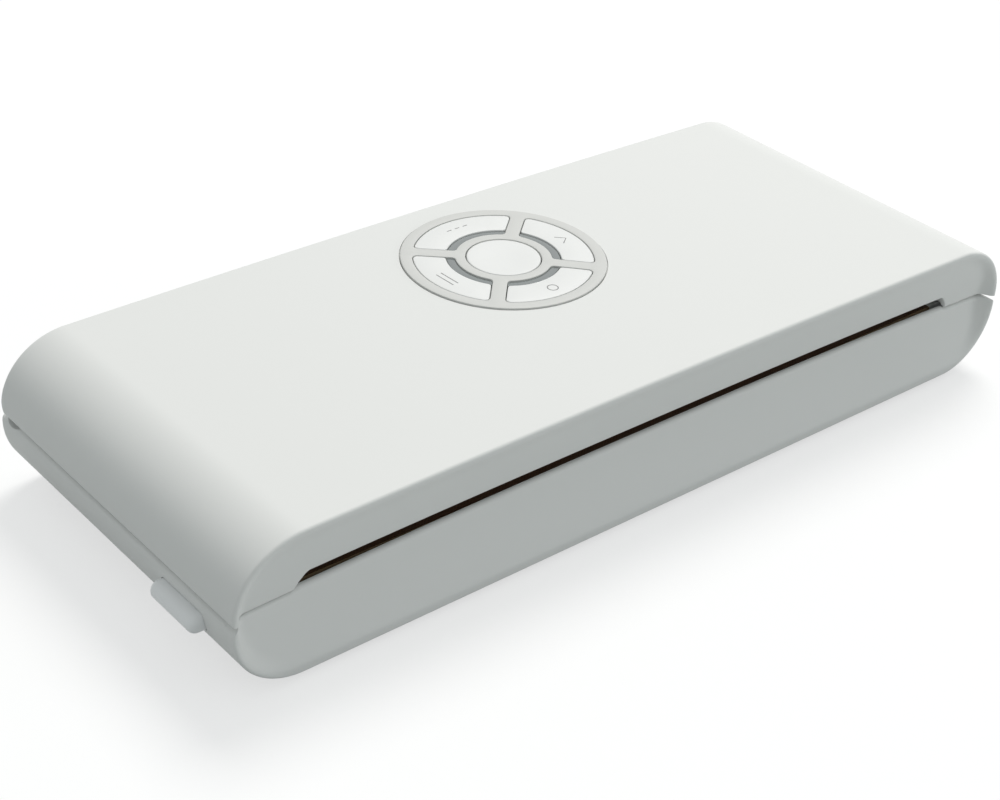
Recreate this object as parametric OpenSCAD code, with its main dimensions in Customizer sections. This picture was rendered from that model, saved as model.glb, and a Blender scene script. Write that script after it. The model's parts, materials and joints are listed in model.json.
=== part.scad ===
// Countertop vacuum sealer: a low base with a heater bar, a vacuum channel and a small pump,
// under a hinged lid that carries the upper seal, the press strip and a round control panel.
// Origin: centre of the footprint, on the surface it stands on. +X runs along the length,
// -Y is the front with the bag slot, +Z is up. Millimetres.

/* [Body] */
// Length of the body, end to end
body_l = 380; // [368:1:410]
// Depth of the body, front to back
body_d = 154.4; // [150:0.2:166]
// Height of the body above its feet
body_h = 59; // [58:0.5:64]
// Height of the seam between base and lid, above the underside
seam_h = 30; // [29.5:0.5:32]
// Gap between base and lid along the seam
seam_gap = 0.8; // [0.6:0.1:1.2]
// Wall thickness of the moulded covers
wall = 2.2; // [1.8:0.1:2.4]
// Radius of the lid's rounded ends
lid_end_r = 28; // [26:0.5:29]
// Radius of the base's rounded ends
base_end_r = 27; // [26:0.5:29]

/* [Front] */
// How far the lid's front leans back from its top edge to the seam
lid_rake = 8; // [6:0.5:9]
// How far the base's front is hollowed at the seam
cove_d = 10; // [9:0.5:11]
// Width of the rim that frames the front at both ends
rim_w = 4; // [3:0.5:5]
// Depth of the front apron where it meets the base shell
apron_d = 6.2; // [5:0.2:7]
// Distance of the bag slot's ends from the body's ends
slot_end = 32; // [31:0.5:36]
// Height of the bag slot above the seam
slot_h = 6.9; // [6.5:0.1:7.5]

/* [Feet and hinge] */
// How far the rubber feet stand below the body
foot_h = 2; // [1.5:0.5:4]
// Radius of a foot
foot_r = 8; // [6:0.5:9]
// Radius of the hinge pins
pin_r = 2; // [1.5:0.1:2.5]
// Distance of the hinge line from the rear face
hinge_inset = 8; // [7.5:0.1:8.5]
// Height of the hinge line above the seam
hinge_rise = 6; // [5.5:0.1:6.5]
// Distance of each hinge from the end of the body
hinge_end = 50; // [46:1:70]

/* [Vacuum chamber] */
// Distance of the vacuum channel's ends from the body's ends
channel_end = 40; // [39:0.5:50]
// Distance of the vacuum channel behind the heater bar
channel_gap = 17.7; // [16.7:0.1:20]
// Room behind the vacuum channel for the pump and the board
rear_room = 69.2; // [67:0.2:73]
// Depth of the vacuum channel below the deck
channel_depth = 12.6; // [10:0.2:14]
// Width of the foam gaskets
gasket_w = 6; // [5:0.5:6.5]

/* [Control panel] */
// Outer radius of the panel's bezel
panel_r = 41.1; // [39:0.1:42]
// Panel's centre to the right of the middle
panel_x = 2; // [0:0.5:6]
// Panel's centre behind the middle
panel_y = 24.6; // [22:0.2:27]
// Width of the bezel ring
bezel_w = 5; // [4:0.5:6]
// Radius of the round centre button
centre_r = 14.7; // [13:0.1:15.5]
// Width of the four spokes between the buttons
spoke_w = 5.7; // [4:0.1:7]
// Travel of each button
button_travel = 0.8; // [0.5:0.1:1]

/* [Releases] */
// Travel of each side release
release_travel = 3.5; // [3:0.1:3.6]
// How far each side release stands out of the end
release_out = 6; // [4:0.5:8]
// Length of each side release, along the depth
release_l = 26; // [22:1:28]
// Height of each side release
release_h = 11.5; // [9:0.5:12]

/* [Hidden] */
$fn = 96;

// Clearances
clear = 0.3;        // between fixed mouldings
run = 0.05;         // radial clearance of a running fit
eps = 0.01;
far = 1000;

// Levels, from the surface upwards
under_z = foot_h;
seam_z = under_z + seam_h;
top_z = under_z + body_h;
base_top_z = seam_z - seam_gap / 2;
lid_low_z = seam_z + seam_gap / 2;
deck_t = 2.4;
deck_z = base_top_z - 1;
deck_low_z = deck_z - deck_t;
floor_z = under_z + wall;
lid_roof_z = top_z - wall - 0.2;
liner_t = 2.2;
liner_z = seam_z + slot_h + clear;
slot_top_z = seam_z + slot_h;

// Outline
half_l = body_l / 2;
slot_l = body_l - 2 * slot_end;
front_y = -body_d / 2;
rear_y = body_d / 2;
base_zc = under_z + base_end_r;
lid_zc = top_z - lid_end_r;
apron_y = front_y + apron_d;
cove_h = seam_h - rim_w;
cove_r = (cove_h * cove_h + cove_d * cove_d) / (2 * cove_d);
cove_y = front_y + cove_d - cove_r;
lid_front_h = top_z - lid_low_z;
lean = lid_rake / lid_front_h;
front_wall_y = wall * sqrt(1 + lean * lean);

// Hinge
hinge_x = half_l - hinge_end;
hinge_y = rear_y - hinge_inset;
hinge_z = seam_z + hinge_rise;
swing_r = hinge_inset;
swing_gap = 0.6;
knuckle_r = 5;
knuckle_l = 15;
ear_t = 4;
ear_gap = 0.4;
hinge_half = knuckle_l / 2 + ear_gap + ear_t;
pin_half = hinge_half + 0.5;
window_half = hinge_half + 2.5;
window_rise = 4.2;
wire_x = hinge_x - 80;
wire_half = 8;

// Heater line, just behind the front lip
lip_t = 0.9;
lip_y = front_y + cove_d;
heater_front = lip_y + lip_t + 0.2;
heater_w = 12.4;
heater_back = heater_front + heater_w;
heater_half = slot_l / 2 + 2;
heater_z = seam_z - 0.8;
heater_h = 4.3;
channel_floor_t = 2.2;
element_w = 4;
element_t = 0.25;
element_y = heater_front + heater_w / 2 + 1;
tape_t = 0.3;
tape_w = heater_w - 1;
tape_z = heater_z + element_t;
strip_w = 7;
strip_z = tape_z + tape_t + 0.75;
strip_h = 4.6;
holder_w = strip_w + 3;
holder_z = liner_z - 3.8;

// Vacuum channel and gasket ring
ring_wall = 2.2;
channel_half = half_l - channel_end;
channel_front = heater_back + channel_gap;
channel_back = rear_y - rear_room;
channel_r = 8;
channel_z = deck_z - channel_depth;
ring_in = ring_wall;
ring_out = ring_wall + gasket_w;
groove_d = 2.4;
lower_top_z = seam_z + 2.2;
upper_low_z = lower_top_z + clear;
rib_h = 3;
rail_t = 1.6;
tray_out = ring_out + 2;
tray_flange_w = 2;
tray_flange_t = 2;

// Side releases
release_y = front_y + 32.2;
release_z = under_z + 18.75;
release_low = release_z - release_h / 2;
plate_w = 22;
plate_z = under_z + 15;
plate_t = 3;
latch_x = half_l - 24;
hook_t = 3;
toe_l = 2.2;
toe_h = 1.7;
hook_w = 9;
hook_root_in = 4;
hook_root_out = 14;
hook_root_t = 2;
hook_y = release_y + 1.5;
hook_low = plate_z - toe_h - 0.3;
catch_x = latch_x - hook_t / 2 - toe_l - clear;
bar_t = 3;
plate_in = catch_x - bar_t;
catch_out = latch_x + hook_t / 2 + release_travel + 0.8;
stop_gap = clear;
flange_t = 2;
flange_low = release_low - 1.6;
flange_high = deck_low_z - 0.4;
flange_z_off = base_zc - flange_low;
flange_x = half_l - base_end_r + sqrt(pow(base_end_r - wall, 2) - pow(flange_z_off, 2)) - stop_gap;
flange_in = flange_x - flange_t;
cradle_out = flange_in - release_travel - 0.6;
cradle_in = plate_in - release_travel - 0.3;
cradle_wall = 2.2;
spring_post_t = 2;
spring_post_x = catch_out + 0.5;
spring_r = 3;
spring_wire = 0.22;
spring_z = plate_z + plate_t + spring_r + 0.8;
spring_turns = 3;

// Screws
screw_r = 1.5;
screw_head_r = 2.9;
screw_head_h = 2;
screw_hole_r = 1.7;
pilot_r = 1.55;
boss_r = 3.8;
tower_h = 8;
tab_t = 2;
tab_w = 12;
front_screw_y = front_y + 15.7;
rear_screw_y = rear_y - 11.2;
front_screw_x = [half_l - 70, half_l - 150];
rear_screw_x = [half_l - 40, half_l - 146];
screw_seat_z = under_z + 3.2;
screw_l = 16;
foot_x = half_l - 40;
foot_y = body_d / 2 - 25.2;
foot_sink = 1;

// Pump, to the right of the middle, behind the channel
pump_y = rear_y - 37.2;
pump_z = under_z + 13.6;
motor_r = 10;
motor_x = 70;
motor_l = 32;
shaft_r = 1;
shaft_x = 58;
shaft_in = 10;
crank_r = 5;
crank_off = 1.5;
crank_t = 3;
head_l = 24;
head_w = 24;
head_h = 20;
cavity_r = 8.5;
cavity_l = 13;
port_x = 52;
port_z = under_z + 20;
port_r = 2.6;
port_bore_r = 1.3;
hose_r = 4.2;
bracket_x = 82;
bracket_l = 10;
bracket_w = 34;

// Power board, to the left of the middle
board_l = 98;
board_w = 36;
board_x0 = 60 - half_l;
board_x1 = board_x0 + board_l;
board_y1 = rear_y - 19.2;
board_y0 = board_y1 - board_w;
board_mid = board_y1 - board_w / 2;
board_z = under_z + 8;
board_t = 1.6;
board_inset = 4;
small_screw_r = 1;
small_head_r = 2;
small_head_h = 1.4;
board_top = board_z + board_t;
core_x = board_x0 + 32;
core_y = board_y0 + 6;
core_l = 24;
core_w = 22;
core_t = 4;
core_top_t = 2.5;
winding_h = 8;
winding_inset = 4;
plug_l = 8;
plug_w = 16;
plug_h = 8;
big_cap_r = 6;
big_cap_h = 14;
small_cap_r = 4;
small_cap_h = 11;
small_cap_x = board_x0 + 66;
relay_x = board_x0 + 14;
relay_l = 14;
relay_w = 11;
sink_x = board_x0 + 74;
sink_t = 3;
sink_w = 24;
sink_h = 13;

// Cord gland, flush with the rear wall
gland_x = 50 - half_l;
gland_z = under_z + 15;
gland_r = 5;
gland_bore_r = 3.2;
gland_flange_r = 7;
gland_flange_t = 2.6;

// Lid switches
switch_x = half_l - 20;
switch_y = release_y + 27;
switch_top = under_z + 18;
terminal_x = slot_l / 2 - 11;
terminal_l = 12;
peg_r = 2;

// Liner screws
liner_front_x = [half_l - 70, half_l - 150];
liner_front_y = heater_back + boss_r + 0.4;
liner_rear_x = [half_l - 25, half_l - 118];
liner_rear_y = rear_y - 32.2;

// Control panel
panel_top = top_z + 0.6;
panel_seat = top_z - 1;
bezel_in = panel_r - bezel_w;
cup_r = bezel_in + 1.9;
cup_floor_z = top_z - 6;
cup_floor_t = 1.2;
hub_in = centre_r + 0.4;
hub_out = hub_in + 4.1;
window_in = hub_out + 0.2;
window_out = window_in + 3.1;
button_in = window_out + 0.4;
button_out = bezel_in - 0.3;
button_gap = 0.35;
cap_top = panel_top - 0.1;
cap_low = cup_floor_z + cup_floor_t + button_travel + 0.6;
stem_r = 2;
stem_reach = (button_in + button_out) / 2;
pcb_t = 1.6;
pcb_top = top_z - 10.4;
pcb_r = 35;
lead_plug_x = 10;
lead_plug_y = 14;
lead_plug_l = 10;
lead_plug_w = 8;
lead_plug_h = 4;
stem_low = pcb_top + 2.6;
tact_h = stem_low - button_travel - 0.1 - pcb_top;
tact_body_h = 1.2;
led_r = 1.5;
led_reach = (window_in + window_out) / 2;
led_turn = 20;
post_reach = 31;
post_turn = 45;

// ---- helpers ----

module box(x0, x1, y0, y1, z0, z1) {
    translate([x0, y0, z0]) cube([x1 - x0, y1 - y0, z1 - z0]);
}

module both_ends() {
    children();
    mirror([1, 0, 0]) children();
}

module rod_x(x0, x1, y, z, r) {
    translate([x0, y, z]) rotate([0, 90, 0]) cylinder(h = x1 - x0, r = r);
}

module rod_y(x, y0, y1, z, r) {
    translate([x, y1, z]) rotate([90, 0, 0]) cylinder(h = y1 - y0, r = r);
}

module rod_z(x, y, z0, z1, r) {
    translate([x, y, z0]) cylinder(h = z1 - z0, r = r);
}

// A profile drawn in the XZ plane, run along Y
module along_y(y0, y1) {
    translate([0, y1, 0]) rotate([90, 0, 0]) linear_extrude(y1 - y0) children();
}

// A profile drawn in the YZ plane, run along X
module along_x(x0, x1) {
    translate([x0, 0, 0]) rotate([90, 0, 90]) linear_extrude(x1 - x0) children();
}

// Rounded rectangle, grown by a margin on every side
module round_rect(x0, x1, y0, y1, r, grow) {
    rr = r + grow;
    translate([x0 + r, y0 - grow]) square([x1 - x0 - 2 * r, y1 - y0 + 2 * grow]);
    translate([x0 - grow, y0 + r]) square([x1 - x0 + 2 * grow, y1 - y0 - 2 * r]);
    for (x = [x0 + r, x1 - r], y = [y0 + r, y1 - r]) translate([x, y]) circle(rr);
}

module channel_outline(grow) {
    round_rect(-channel_half, channel_half, channel_front, channel_back, channel_r, grow);
}

module channel_ring(inner, outer, z0, z1) {
    translate([0, 0, z0]) linear_extrude(z1 - z0) difference() {
        channel_outline(outer);
        channel_outline(inner);
    }
}

module channel_block(grow, z0, z1) {
    translate([0, 0, z0]) linear_extrude(z1 - z0) channel_outline(grow);
}

// End profile: a slab with full round ends, cut off at the levels z0 and z1
module end_profile(r, zc, inset, z0, z1) {
    intersection() {
        union() {
            for (s = [-1, 1]) translate([s * (half_l - r), zc]) circle(r - inset, $fn = 180);
            translate([r - half_l, zc - r + inset]) square([body_l - 2 * r, 2 * (r - inset)]);
        }
        translate([-body_l, z0]) square([2 * body_l, z1 - z0]);
    }
}

module base_profile(inset, z1) {
    end_profile(base_end_r, base_zc, inset, under_z - 1, z1);
}

module lid_profile(inset, z0) {
    end_profile(lid_end_r, lid_zc, inset, z0, top_z + 1);
}

// The space swept by the lid's rear edge about the hinge line
module swing_space(r) {
    rod_x(-far / 2, far / 2, hinge_y, hinge_z, r);
}

// Everything below and behind the hinge line that lies outside the radius r
module beyond_swing(r) {
    difference() {
        box(-far / 2, far / 2, hinge_y, far, 0, hinge_z);
        rod_x(-far / 2 - 1, far / 2 + 1, hinge_y, hinge_z, r);
    }
}

module at_hinges() {
    for (s = [-1, 1]) translate([s * hinge_x, 0, 0]) children();
}

// Openings in the lid's rear edge, at the hinges and where the wires cross the hinge line
module rear_windows() {
    at_hinges() box(-window_half, window_half, hinge_y - swing_r, far, 0, hinge_z + window_rise);
    box(wire_x - wire_half, wire_x + wire_half, hinge_y - swing_r, far, 0, hinge_z + window_rise);
}

module base_screw_places() {
    for (s = [-1, 1], x = front_screw_x) translate([s * x, front_screw_y, 0]) children();
    for (s = [-1, 1], x = rear_screw_x) translate([s * x, rear_screw_y, 0]) children();
}

module foot_places() {
    for (x = [-foot_x, foot_x], y = [-foot_y, foot_y]) translate([x, y, 0]) children();
}

module board_corners() {
    for (x = [board_x0 + board_inset, board_x1 - board_inset])
        for (y = [board_y0 + board_inset, board_y1 - board_inset])
            translate([x, y, 0]) children();
}

module bracket_ends() {
    for (s = [-1, 1])
        translate([bracket_x + bracket_l / 2, pump_y + s * (bracket_w / 2 - 3), 0]) children();
}

module liner_screw_places() {
    for (s = [-1, 1], x = liner_front_x) translate([s * x, liner_front_y, 0]) children();
    for (s = [-1, 1], x = liner_rear_x) translate([s * x, liner_rear_y, 0]) children();
}

module panel_place() {
    translate([panel_x, panel_y, 0]) children();
}

module post_places() {
    for (k = [0:3]) rotate([0, 0, post_turn + 90 * k]) translate([post_reach, 0, 0]) children();
}

function unit(v) = v / norm(v);

// A ring of points slid along the direction d onto the plane through a point with the normal n
function slid(ring, at, d, n) = [for (p = ring) p + d * (((at - p) * n) / (d * n))];

// Rings of a tube from the route's point i on: each is the ring before it, slid along the
// segment onto the plane that halves the corner
function rings(route, ring, i) = i == len(route) ? [] :
    let (d = unit(route[i] - route[i - 1]),
        n = i == len(route) - 1 ? d : unit(d + unit(route[i + 1] - route[i])),
        next = slid(ring, route[i], d, n))
    concat([next], rings(route, next, i + 1));

// Faces of a tube whose rings of points follow each other
module tube_body(tube_rings, sides) {
    last = len(tube_rings) - 1;
    walls = [for (i = [0:last - 1], j = [0:sides - 1])
        let (k = (j + 1) % sides)
        [i * sides + j, (i + 1) * sides + j, (i + 1) * sides + k, i * sides + k]];
    start = [[for (j = [0:sides - 1]) j]];
    finish = [[for (j = [sides - 1:-1:0]) last * sides + j]];
    polyhedron([for (ring = tube_rings) each ring], concat(walls, start, finish), convexity = 8);
}

// A wire along a route of points, with mitred corners
module wire(route, r) {
    sides = 8;
    d = unit(route[1] - route[0]);
    across = unit(cross(d, abs(d[2]) < 0.7 ? [0, 0, 1] : [1, 0, 0]));
    other = cross(d, across);
    first = [for (j = [0:sides - 1])
        route[0] + r * (cos(360 * j / sides) * across + sin(360 * j / sides) * other)];
    tube_body(concat([first], rings(route, first, 1)), sides);
}

// ---- base ----

module latch_cradle() {
    difference() {
        box(cradle_in, cradle_out, release_y - plate_w / 2 - cradle_wall,
            release_y + plate_w / 2 + cradle_wall, under_z + 1, plate_z + plate_t + 1);
        box(cradle_in - 1, cradle_out + 1, release_y - plate_w / 2 - run,
            release_y + plate_w / 2 + run, plate_z - run, far);
        box(cradle_in - 1, cradle_out + 1, release_y - plate_w / 2 + 3,
            release_y + plate_w / 2 - 3, floor_z + 4, far);
    }
}

module base_shell() {
    color("whitesmoke") difference() {
        union() {
            difference() {
                along_y(apron_y, rear_y) base_profile(0, base_top_z);
                along_y(apron_y - 1, rear_y - wall) base_profile(wall, base_top_z + 1);
            }
            intersection() {
                union() {
                    base_screw_places() rod_z(0, 0, under_z + 0.5, under_z + tower_h, boss_r + 0.4);
                    foot_places() rod_z(0, 0, under_z + 0.5, floor_z + foot_sink, foot_r + 1.6);
                    board_corners() rod_z(0, 0, under_z + 1, board_z, 3);
                    bracket_ends() rod_z(0, 0, under_z + 1, under_z + 4, 3);
                    both_ends() latch_cradle();
                    both_ends() box(switch_x - 4, switch_x + 4, switch_y - 11, switch_y + 11,
                        under_z + 1, switch_top - 10.5);
                }
                along_y(apron_y, rear_y) base_profile(1, base_top_z);
            }
        }
        swing_space(swing_r + swing_gap);
        base_screw_places() rod_z(0, 0, 0, screw_seat_z, screw_head_r + clear);
        base_screw_places() rod_z(0, 0, 0, far, screw_hole_r);
        foot_places() rod_z(0, 0, 0, under_z + foot_sink, foot_r + 0.1);
        board_corners() rod_z(0, 0, floor_z, far, small_screw_r + run);
        bracket_ends() rod_z(0, 0, under_z + 1, far, small_screw_r + run);
        both_ends() box(half_l - 15, half_l + 1, release_y - release_l / 2 - clear,
            release_y + release_l / 2 + clear, release_low - clear, release_low + release_h + clear);
        rod_y(gland_x, rear_y - wall - 1, rear_y + 1, gland_z, gland_r + 0.1);
    }
}

module front_apron() {
    tab_z = under_z + tower_h + run;
    color("gainsboro") difference() {
        union() {
            difference() {
                union() {
                    along_y(front_y, apron_y) base_profile(0, base_top_z);
                    along_y(apron_y - 1, lip_y + wall) base_profile(wall + 0.2, base_top_z);
                }
                intersection() {
                    along_y(front_y - 1, apron_y + 1) base_profile(wall, base_top_z - wall);
                    along_y(front_y - 1, lip_y + wall + 1) base_profile(wall, base_top_z + 1);
                    difference() {
                        box(-far, far, front_y, lip_y + wall + 1, 0, far / 2);
                        rod_x(-far, far, cove_y, seam_z, cove_r + wall);
                    }
                }
                intersection() {
                    along_y(apron_y, lip_y + wall + 1) base_profile(rim_w, base_top_z + 1);
                    difference() {
                        box(-far, far, apron_y, lip_y + wall + 1, 0, far / 2);
                        rod_x(-far, far, cove_y, seam_z, cove_r + wall);
                    }
                }
            }
            // Lip along the bag slot
            box(-heater_half - 1, heater_half + 1, lip_y, lip_y + lip_t, seam_z - 4, seam_z);
            for (s = [-1, 1], x = front_screw_x)
                box(s * x - tab_w / 2, s * x + tab_w / 2, lip_y - 5.6, front_screw_y + 5,
                    tab_z, tab_z + tab_t);
        }
        // Hollow of the front
        intersection() {
            along_y(front_y - 1, lip_y) base_profile(rim_w, seam_z + 1);
            rod_x(-far, far, cove_y, seam_z, cove_r);
        }
        // Seat of the heater bar, behind the lip
        box(-heater_half - 0.4, heater_half + 0.4, lip_y + lip_t, far,
            heater_z - heater_h - channel_floor_t - clear, far);
        for (s = [-1, 1], x = front_screw_x) {
            rod_z(s * x, front_screw_y, 0, far, screw_hole_r);
            rod_z(s * x, front_screw_y, 0, tab_z - run, boss_r + 0.4 + clear);
        }
    }
}

module hinge_ear(x0) {
    rod_x(x0, x0 + ear_t, hinge_y, hinge_z, knuckle_r);
    box(x0, x0 + ear_t, hinge_y - knuckle_r, hinge_y + knuckle_r - 1, deck_z - 1, hinge_z);
}

module base_deck() {
    deck_half = half_l - wall - clear;
    deck_front = lip_y + wall + clear;
    color("gainsboro") difference() {
        union() {
            difference() {
                union() {
                    box(-deck_half, deck_half, deck_front, rear_y - wall - clear, deck_low_z, deck_z);
                    // Seat of the heater bar
                    box(-heater_half - 2, heater_half + 2, deck_front, heater_back + 2.4,
                        heater_z - heater_h - channel_floor_t, deck_z);
                }
                // Opening that the tray fills from below
                channel_block(tray_out + clear, 0, far);
                swing_space(swing_r + swing_gap);
            }
            at_hinges() {
                hinge_ear(-hinge_half);
                hinge_ear(hinge_half - ear_t);
            }
            base_screw_places()
                rod_z(0, 0, under_z + tower_h + tab_t + 2 * run, deck_low_z + 1, boss_r);
            for (s = [-1, 1], x = rear_screw_x)
                rod_z(s * x, rear_screw_y, under_z + tower_h + run, deck_low_z + 1, boss_r);
            both_ends() box(spring_post_x, spring_post_x + spring_post_t, release_y - 5, release_y + 5,
                plate_z + plate_t + clear, deck_low_z + 1);
        }
        box(-heater_half - 0.3, heater_half + 0.3, heater_front - 3, heater_back + clear,
            heater_z - heater_h, far);
        at_hinges() rod_x(-far / 10, far / 10, hinge_y, hinge_z, pin_r + run);
        base_screw_places() rod_z(0, 0, 0, under_z + 22, pilot_r);
        // Slots for the lid's hooks and the switch pegs
        both_ends() box(plate_in + 2, catch_out - 1,
            hook_y - hook_w / 2 - 4, hook_y + hook_w / 2 + 1.5, 0, far);
        both_ends() box(switch_x - peg_r - 1.2, switch_x + peg_r + 1.2,
            switch_y - peg_r - 4, switch_y + peg_r + 1, 0, far);
        rod_z(wire_x + 4, hinge_y, 0, hinge_z - 3, 1.6);
    }
}

// Tray with the channel that catches air and drops, and the groove of the lower gasket
module vacuum_tray() {
    color("gainsboro") difference() {
        union() {
            channel_block(ring_wall, channel_z - wall, deck_z);
            channel_block(tray_out, deck_low_z - tray_flange_t, deck_z);
            channel_block(tray_out + tray_flange_w, deck_low_z - tray_flange_t, deck_low_z);
        }
        channel_block(0, channel_z, far);
        channel_ring(ring_in, ring_out, deck_z - groove_d, far);
        rod_y(port_x, channel_back - 1, channel_back + ring_wall + 1, port_z, port_r + run);
    }
}

module lower_gasket() {
    color("dimgray") channel_ring(ring_in + 0.1, ring_out - 0.1, deck_z - groove_d, lower_top_z);
}

module heater_bar() {
    color("tan") box(-heater_half, heater_half, heater_front, heater_back, heater_z - heater_h, heater_z);
}

module heating_element() {
    color("silver") box(-heater_half + 6, heater_half - 6, element_y - element_w / 2,
        element_y + element_w / 2, heater_z, heater_z + element_t);
}

module sealing_tape() {
    color("saddlebrown") box(-heater_half + 1, heater_half - 1, heater_front, heater_front + tape_w,
        tape_z, tape_z + tape_t);
}

module heater_terminals() {
    low = heater_z - heater_h - channel_floor_t;
    color("goldenrod") both_ends() {
        box(terminal_x - terminal_l / 2, terminal_x + terminal_l / 2,
            element_y - 3, element_y + 3, low - 1.2, low);
        rod_z(terminal_x, element_y, low - 5, low - 1.2, 2.2);
    }
}

module pump_motor() {
    color("silver") difference() {
        union() {
            rod_x(motor_x, motor_x + motor_l, pump_y, pump_z, motor_r);
            rod_x(motor_x - 1.5, motor_x + 1, pump_y, pump_z, 3);
            rod_x(motor_x + motor_l - 1, motor_x + motor_l + 1.5, pump_y, pump_z, 3);
        }
        rod_x(motor_x - 2, shaft_x + 12 + shaft_in, pump_y, pump_z, shaft_r + run);
    }
}

module pump_shaft() {
    color("dimgray") {
        rod_x(shaft_x, shaft_x + 12 + shaft_in - 0.2, pump_y, pump_z, shaft_r);
        rod_x(shaft_x + 2, shaft_x + 2 + crank_t, pump_y, pump_z + crank_off, crank_r);
    }
}

module pump_head() {
    x0 = motor_x - head_l;
    color("black") difference() {
        union() {
            box(x0, motor_x, pump_y - head_w / 2, pump_y + head_w / 2,
                pump_z - head_h / 2, pump_z + head_h / 2);
            rod_y(port_x, pump_y - head_w / 2 - 6, pump_y - head_w / 2 + 1, port_z, port_r);
        }
        rod_x(motor_x - cavity_l, motor_x + 1, pump_y, pump_z, cavity_r);
        rod_y(port_x, pump_y - head_w / 2 - 7, pump_y - head_w / 2 + 4, port_z, port_bore_r);
    }
}

module pump_bracket() {
    color("gainsboro") difference() {
        union() {
            box(bracket_x, bracket_x + bracket_l, pump_y - bracket_w / 2, pump_y + bracket_w / 2,
                under_z + 4, under_z + 6.4);
            box(bracket_x, bracket_x + bracket_l, pump_y - motor_r - 1.6, pump_y + motor_r + 1.6,
                under_z + 4, pump_z);
            rod_x(bracket_x, bracket_x + bracket_l, pump_y, pump_z, motor_r + 1.6);
        }
        rod_x(bracket_x - 1, bracket_x + bracket_l + 1, pump_y, pump_z, motor_r + run);
        bracket_ends() rod_z(0, 0, 0, far, small_screw_r + run);
        box(bracket_x - 1, bracket_x + bracket_l + 1, pump_y - 20, pump_y + 20, 0, under_z + 4);
    }
}

module pump_hose() {
    y0 = channel_back + ring_wall + 0.8;
    color("lightgray") difference() {
        rod_y(port_x, y0, pump_y - head_w / 2 - 0.5, port_z, hose_r);
        rod_y(port_x, y0 - 1, pump_y - head_w / 2, port_z, port_r + run);
    }
}

module vacuum_port() {
    color("black") difference() {
        union() {
            rod_y(port_x, channel_back - 0.8, channel_back + ring_wall + 7, port_z, port_r);
            rod_y(port_x, channel_back - 0.8, channel_back, port_z, port_r + 1.2);
        }
        rod_y(port_x, channel_back - 2, channel_back + ring_wall + 8, port_z, port_bore_r);
    }
}

module power_board() {
    color("darkgreen") difference() {
        box(board_x0, board_x1, board_y0, board_y1, board_z, board_top);
        board_corners() rod_z(0, 0, 0, far, small_screw_r + 0.2);
    }
}

module transformer() {
    low = board_top + core_t;
    high = low + winding_h;
    color("darkorange") {
        box(core_x, core_x + core_l, core_y, core_y + core_w, board_top, low);
        box(core_x + winding_inset, core_x + core_l - winding_inset,
            core_y + 1, core_y + core_w - 1, low, high);
        box(core_x, core_x + core_l, core_y, core_y + core_w, high, high + core_top_t);
    }
}

module board_parts() {
    y = board_mid;
    color("dimgray") {
        // Wire connectors at both ends
        for (x = [board_x0 + 1, board_x1 - 1 - plug_l])
            box(x, x + plug_l, y - plug_w / 2, y + plug_w / 2, board_top, board_top + plug_h);
        // Capacitors
        rod_z(relay_x + big_cap_r, y + big_cap_r + 2, board_top, board_top + big_cap_h, big_cap_r);
        rod_z(small_cap_x, y - 8, board_top, board_top + small_cap_h, small_cap_r);
        rod_z(small_cap_x, y + 6, board_top, board_top + small_cap_h, small_cap_r);
        // Relay and heat sink
        box(relay_x, relay_x + relay_l, y - relay_w - 1, y - 1, board_top, board_top + relay_w);
        box(sink_x, sink_x + sink_t, y - sink_w / 2, y + sink_w / 2, board_top, board_top + sink_h);
    }
}

module inner_screws() {
    color("silver") {
        board_corners() {
            rod_z(0, 0, under_z + 3.5, board_top + 0.5, small_screw_r);
            rod_z(0, 0, board_top, board_top + small_head_h, small_head_r);
        }
        bracket_ends() {
            rod_z(0, 0, under_z + 1.5, under_z + 6.6, small_screw_r);
            rod_z(0, 0, under_z + 6.4, under_z + 6.4 + small_head_h, small_head_r);
        }
    }
}

module lid_switches() {
    color("black") both_ends() {
        box(switch_x - 3.2, switch_x + 3.2, switch_y - 10, switch_y + 10, switch_top - 10.5, switch_top);
        box(switch_x - 1.6, switch_x + 1.6, switch_y - 2, switch_y + 2, switch_top - 1, switch_top + 1.7);
    }
}

module cord_gland() {
    color("gray") difference() {
        union() {
            rod_y(gland_x, rear_y - wall - 0.1, rear_y, gland_z, gland_r);
            rod_y(gland_x, rear_y - wall - gland_flange_t, rear_y - wall, gland_z, gland_flange_r);
        }
        rod_y(gland_x, rear_y - far / 10, rear_y + 1, gland_z, gland_bore_r);
    }
}

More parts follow.
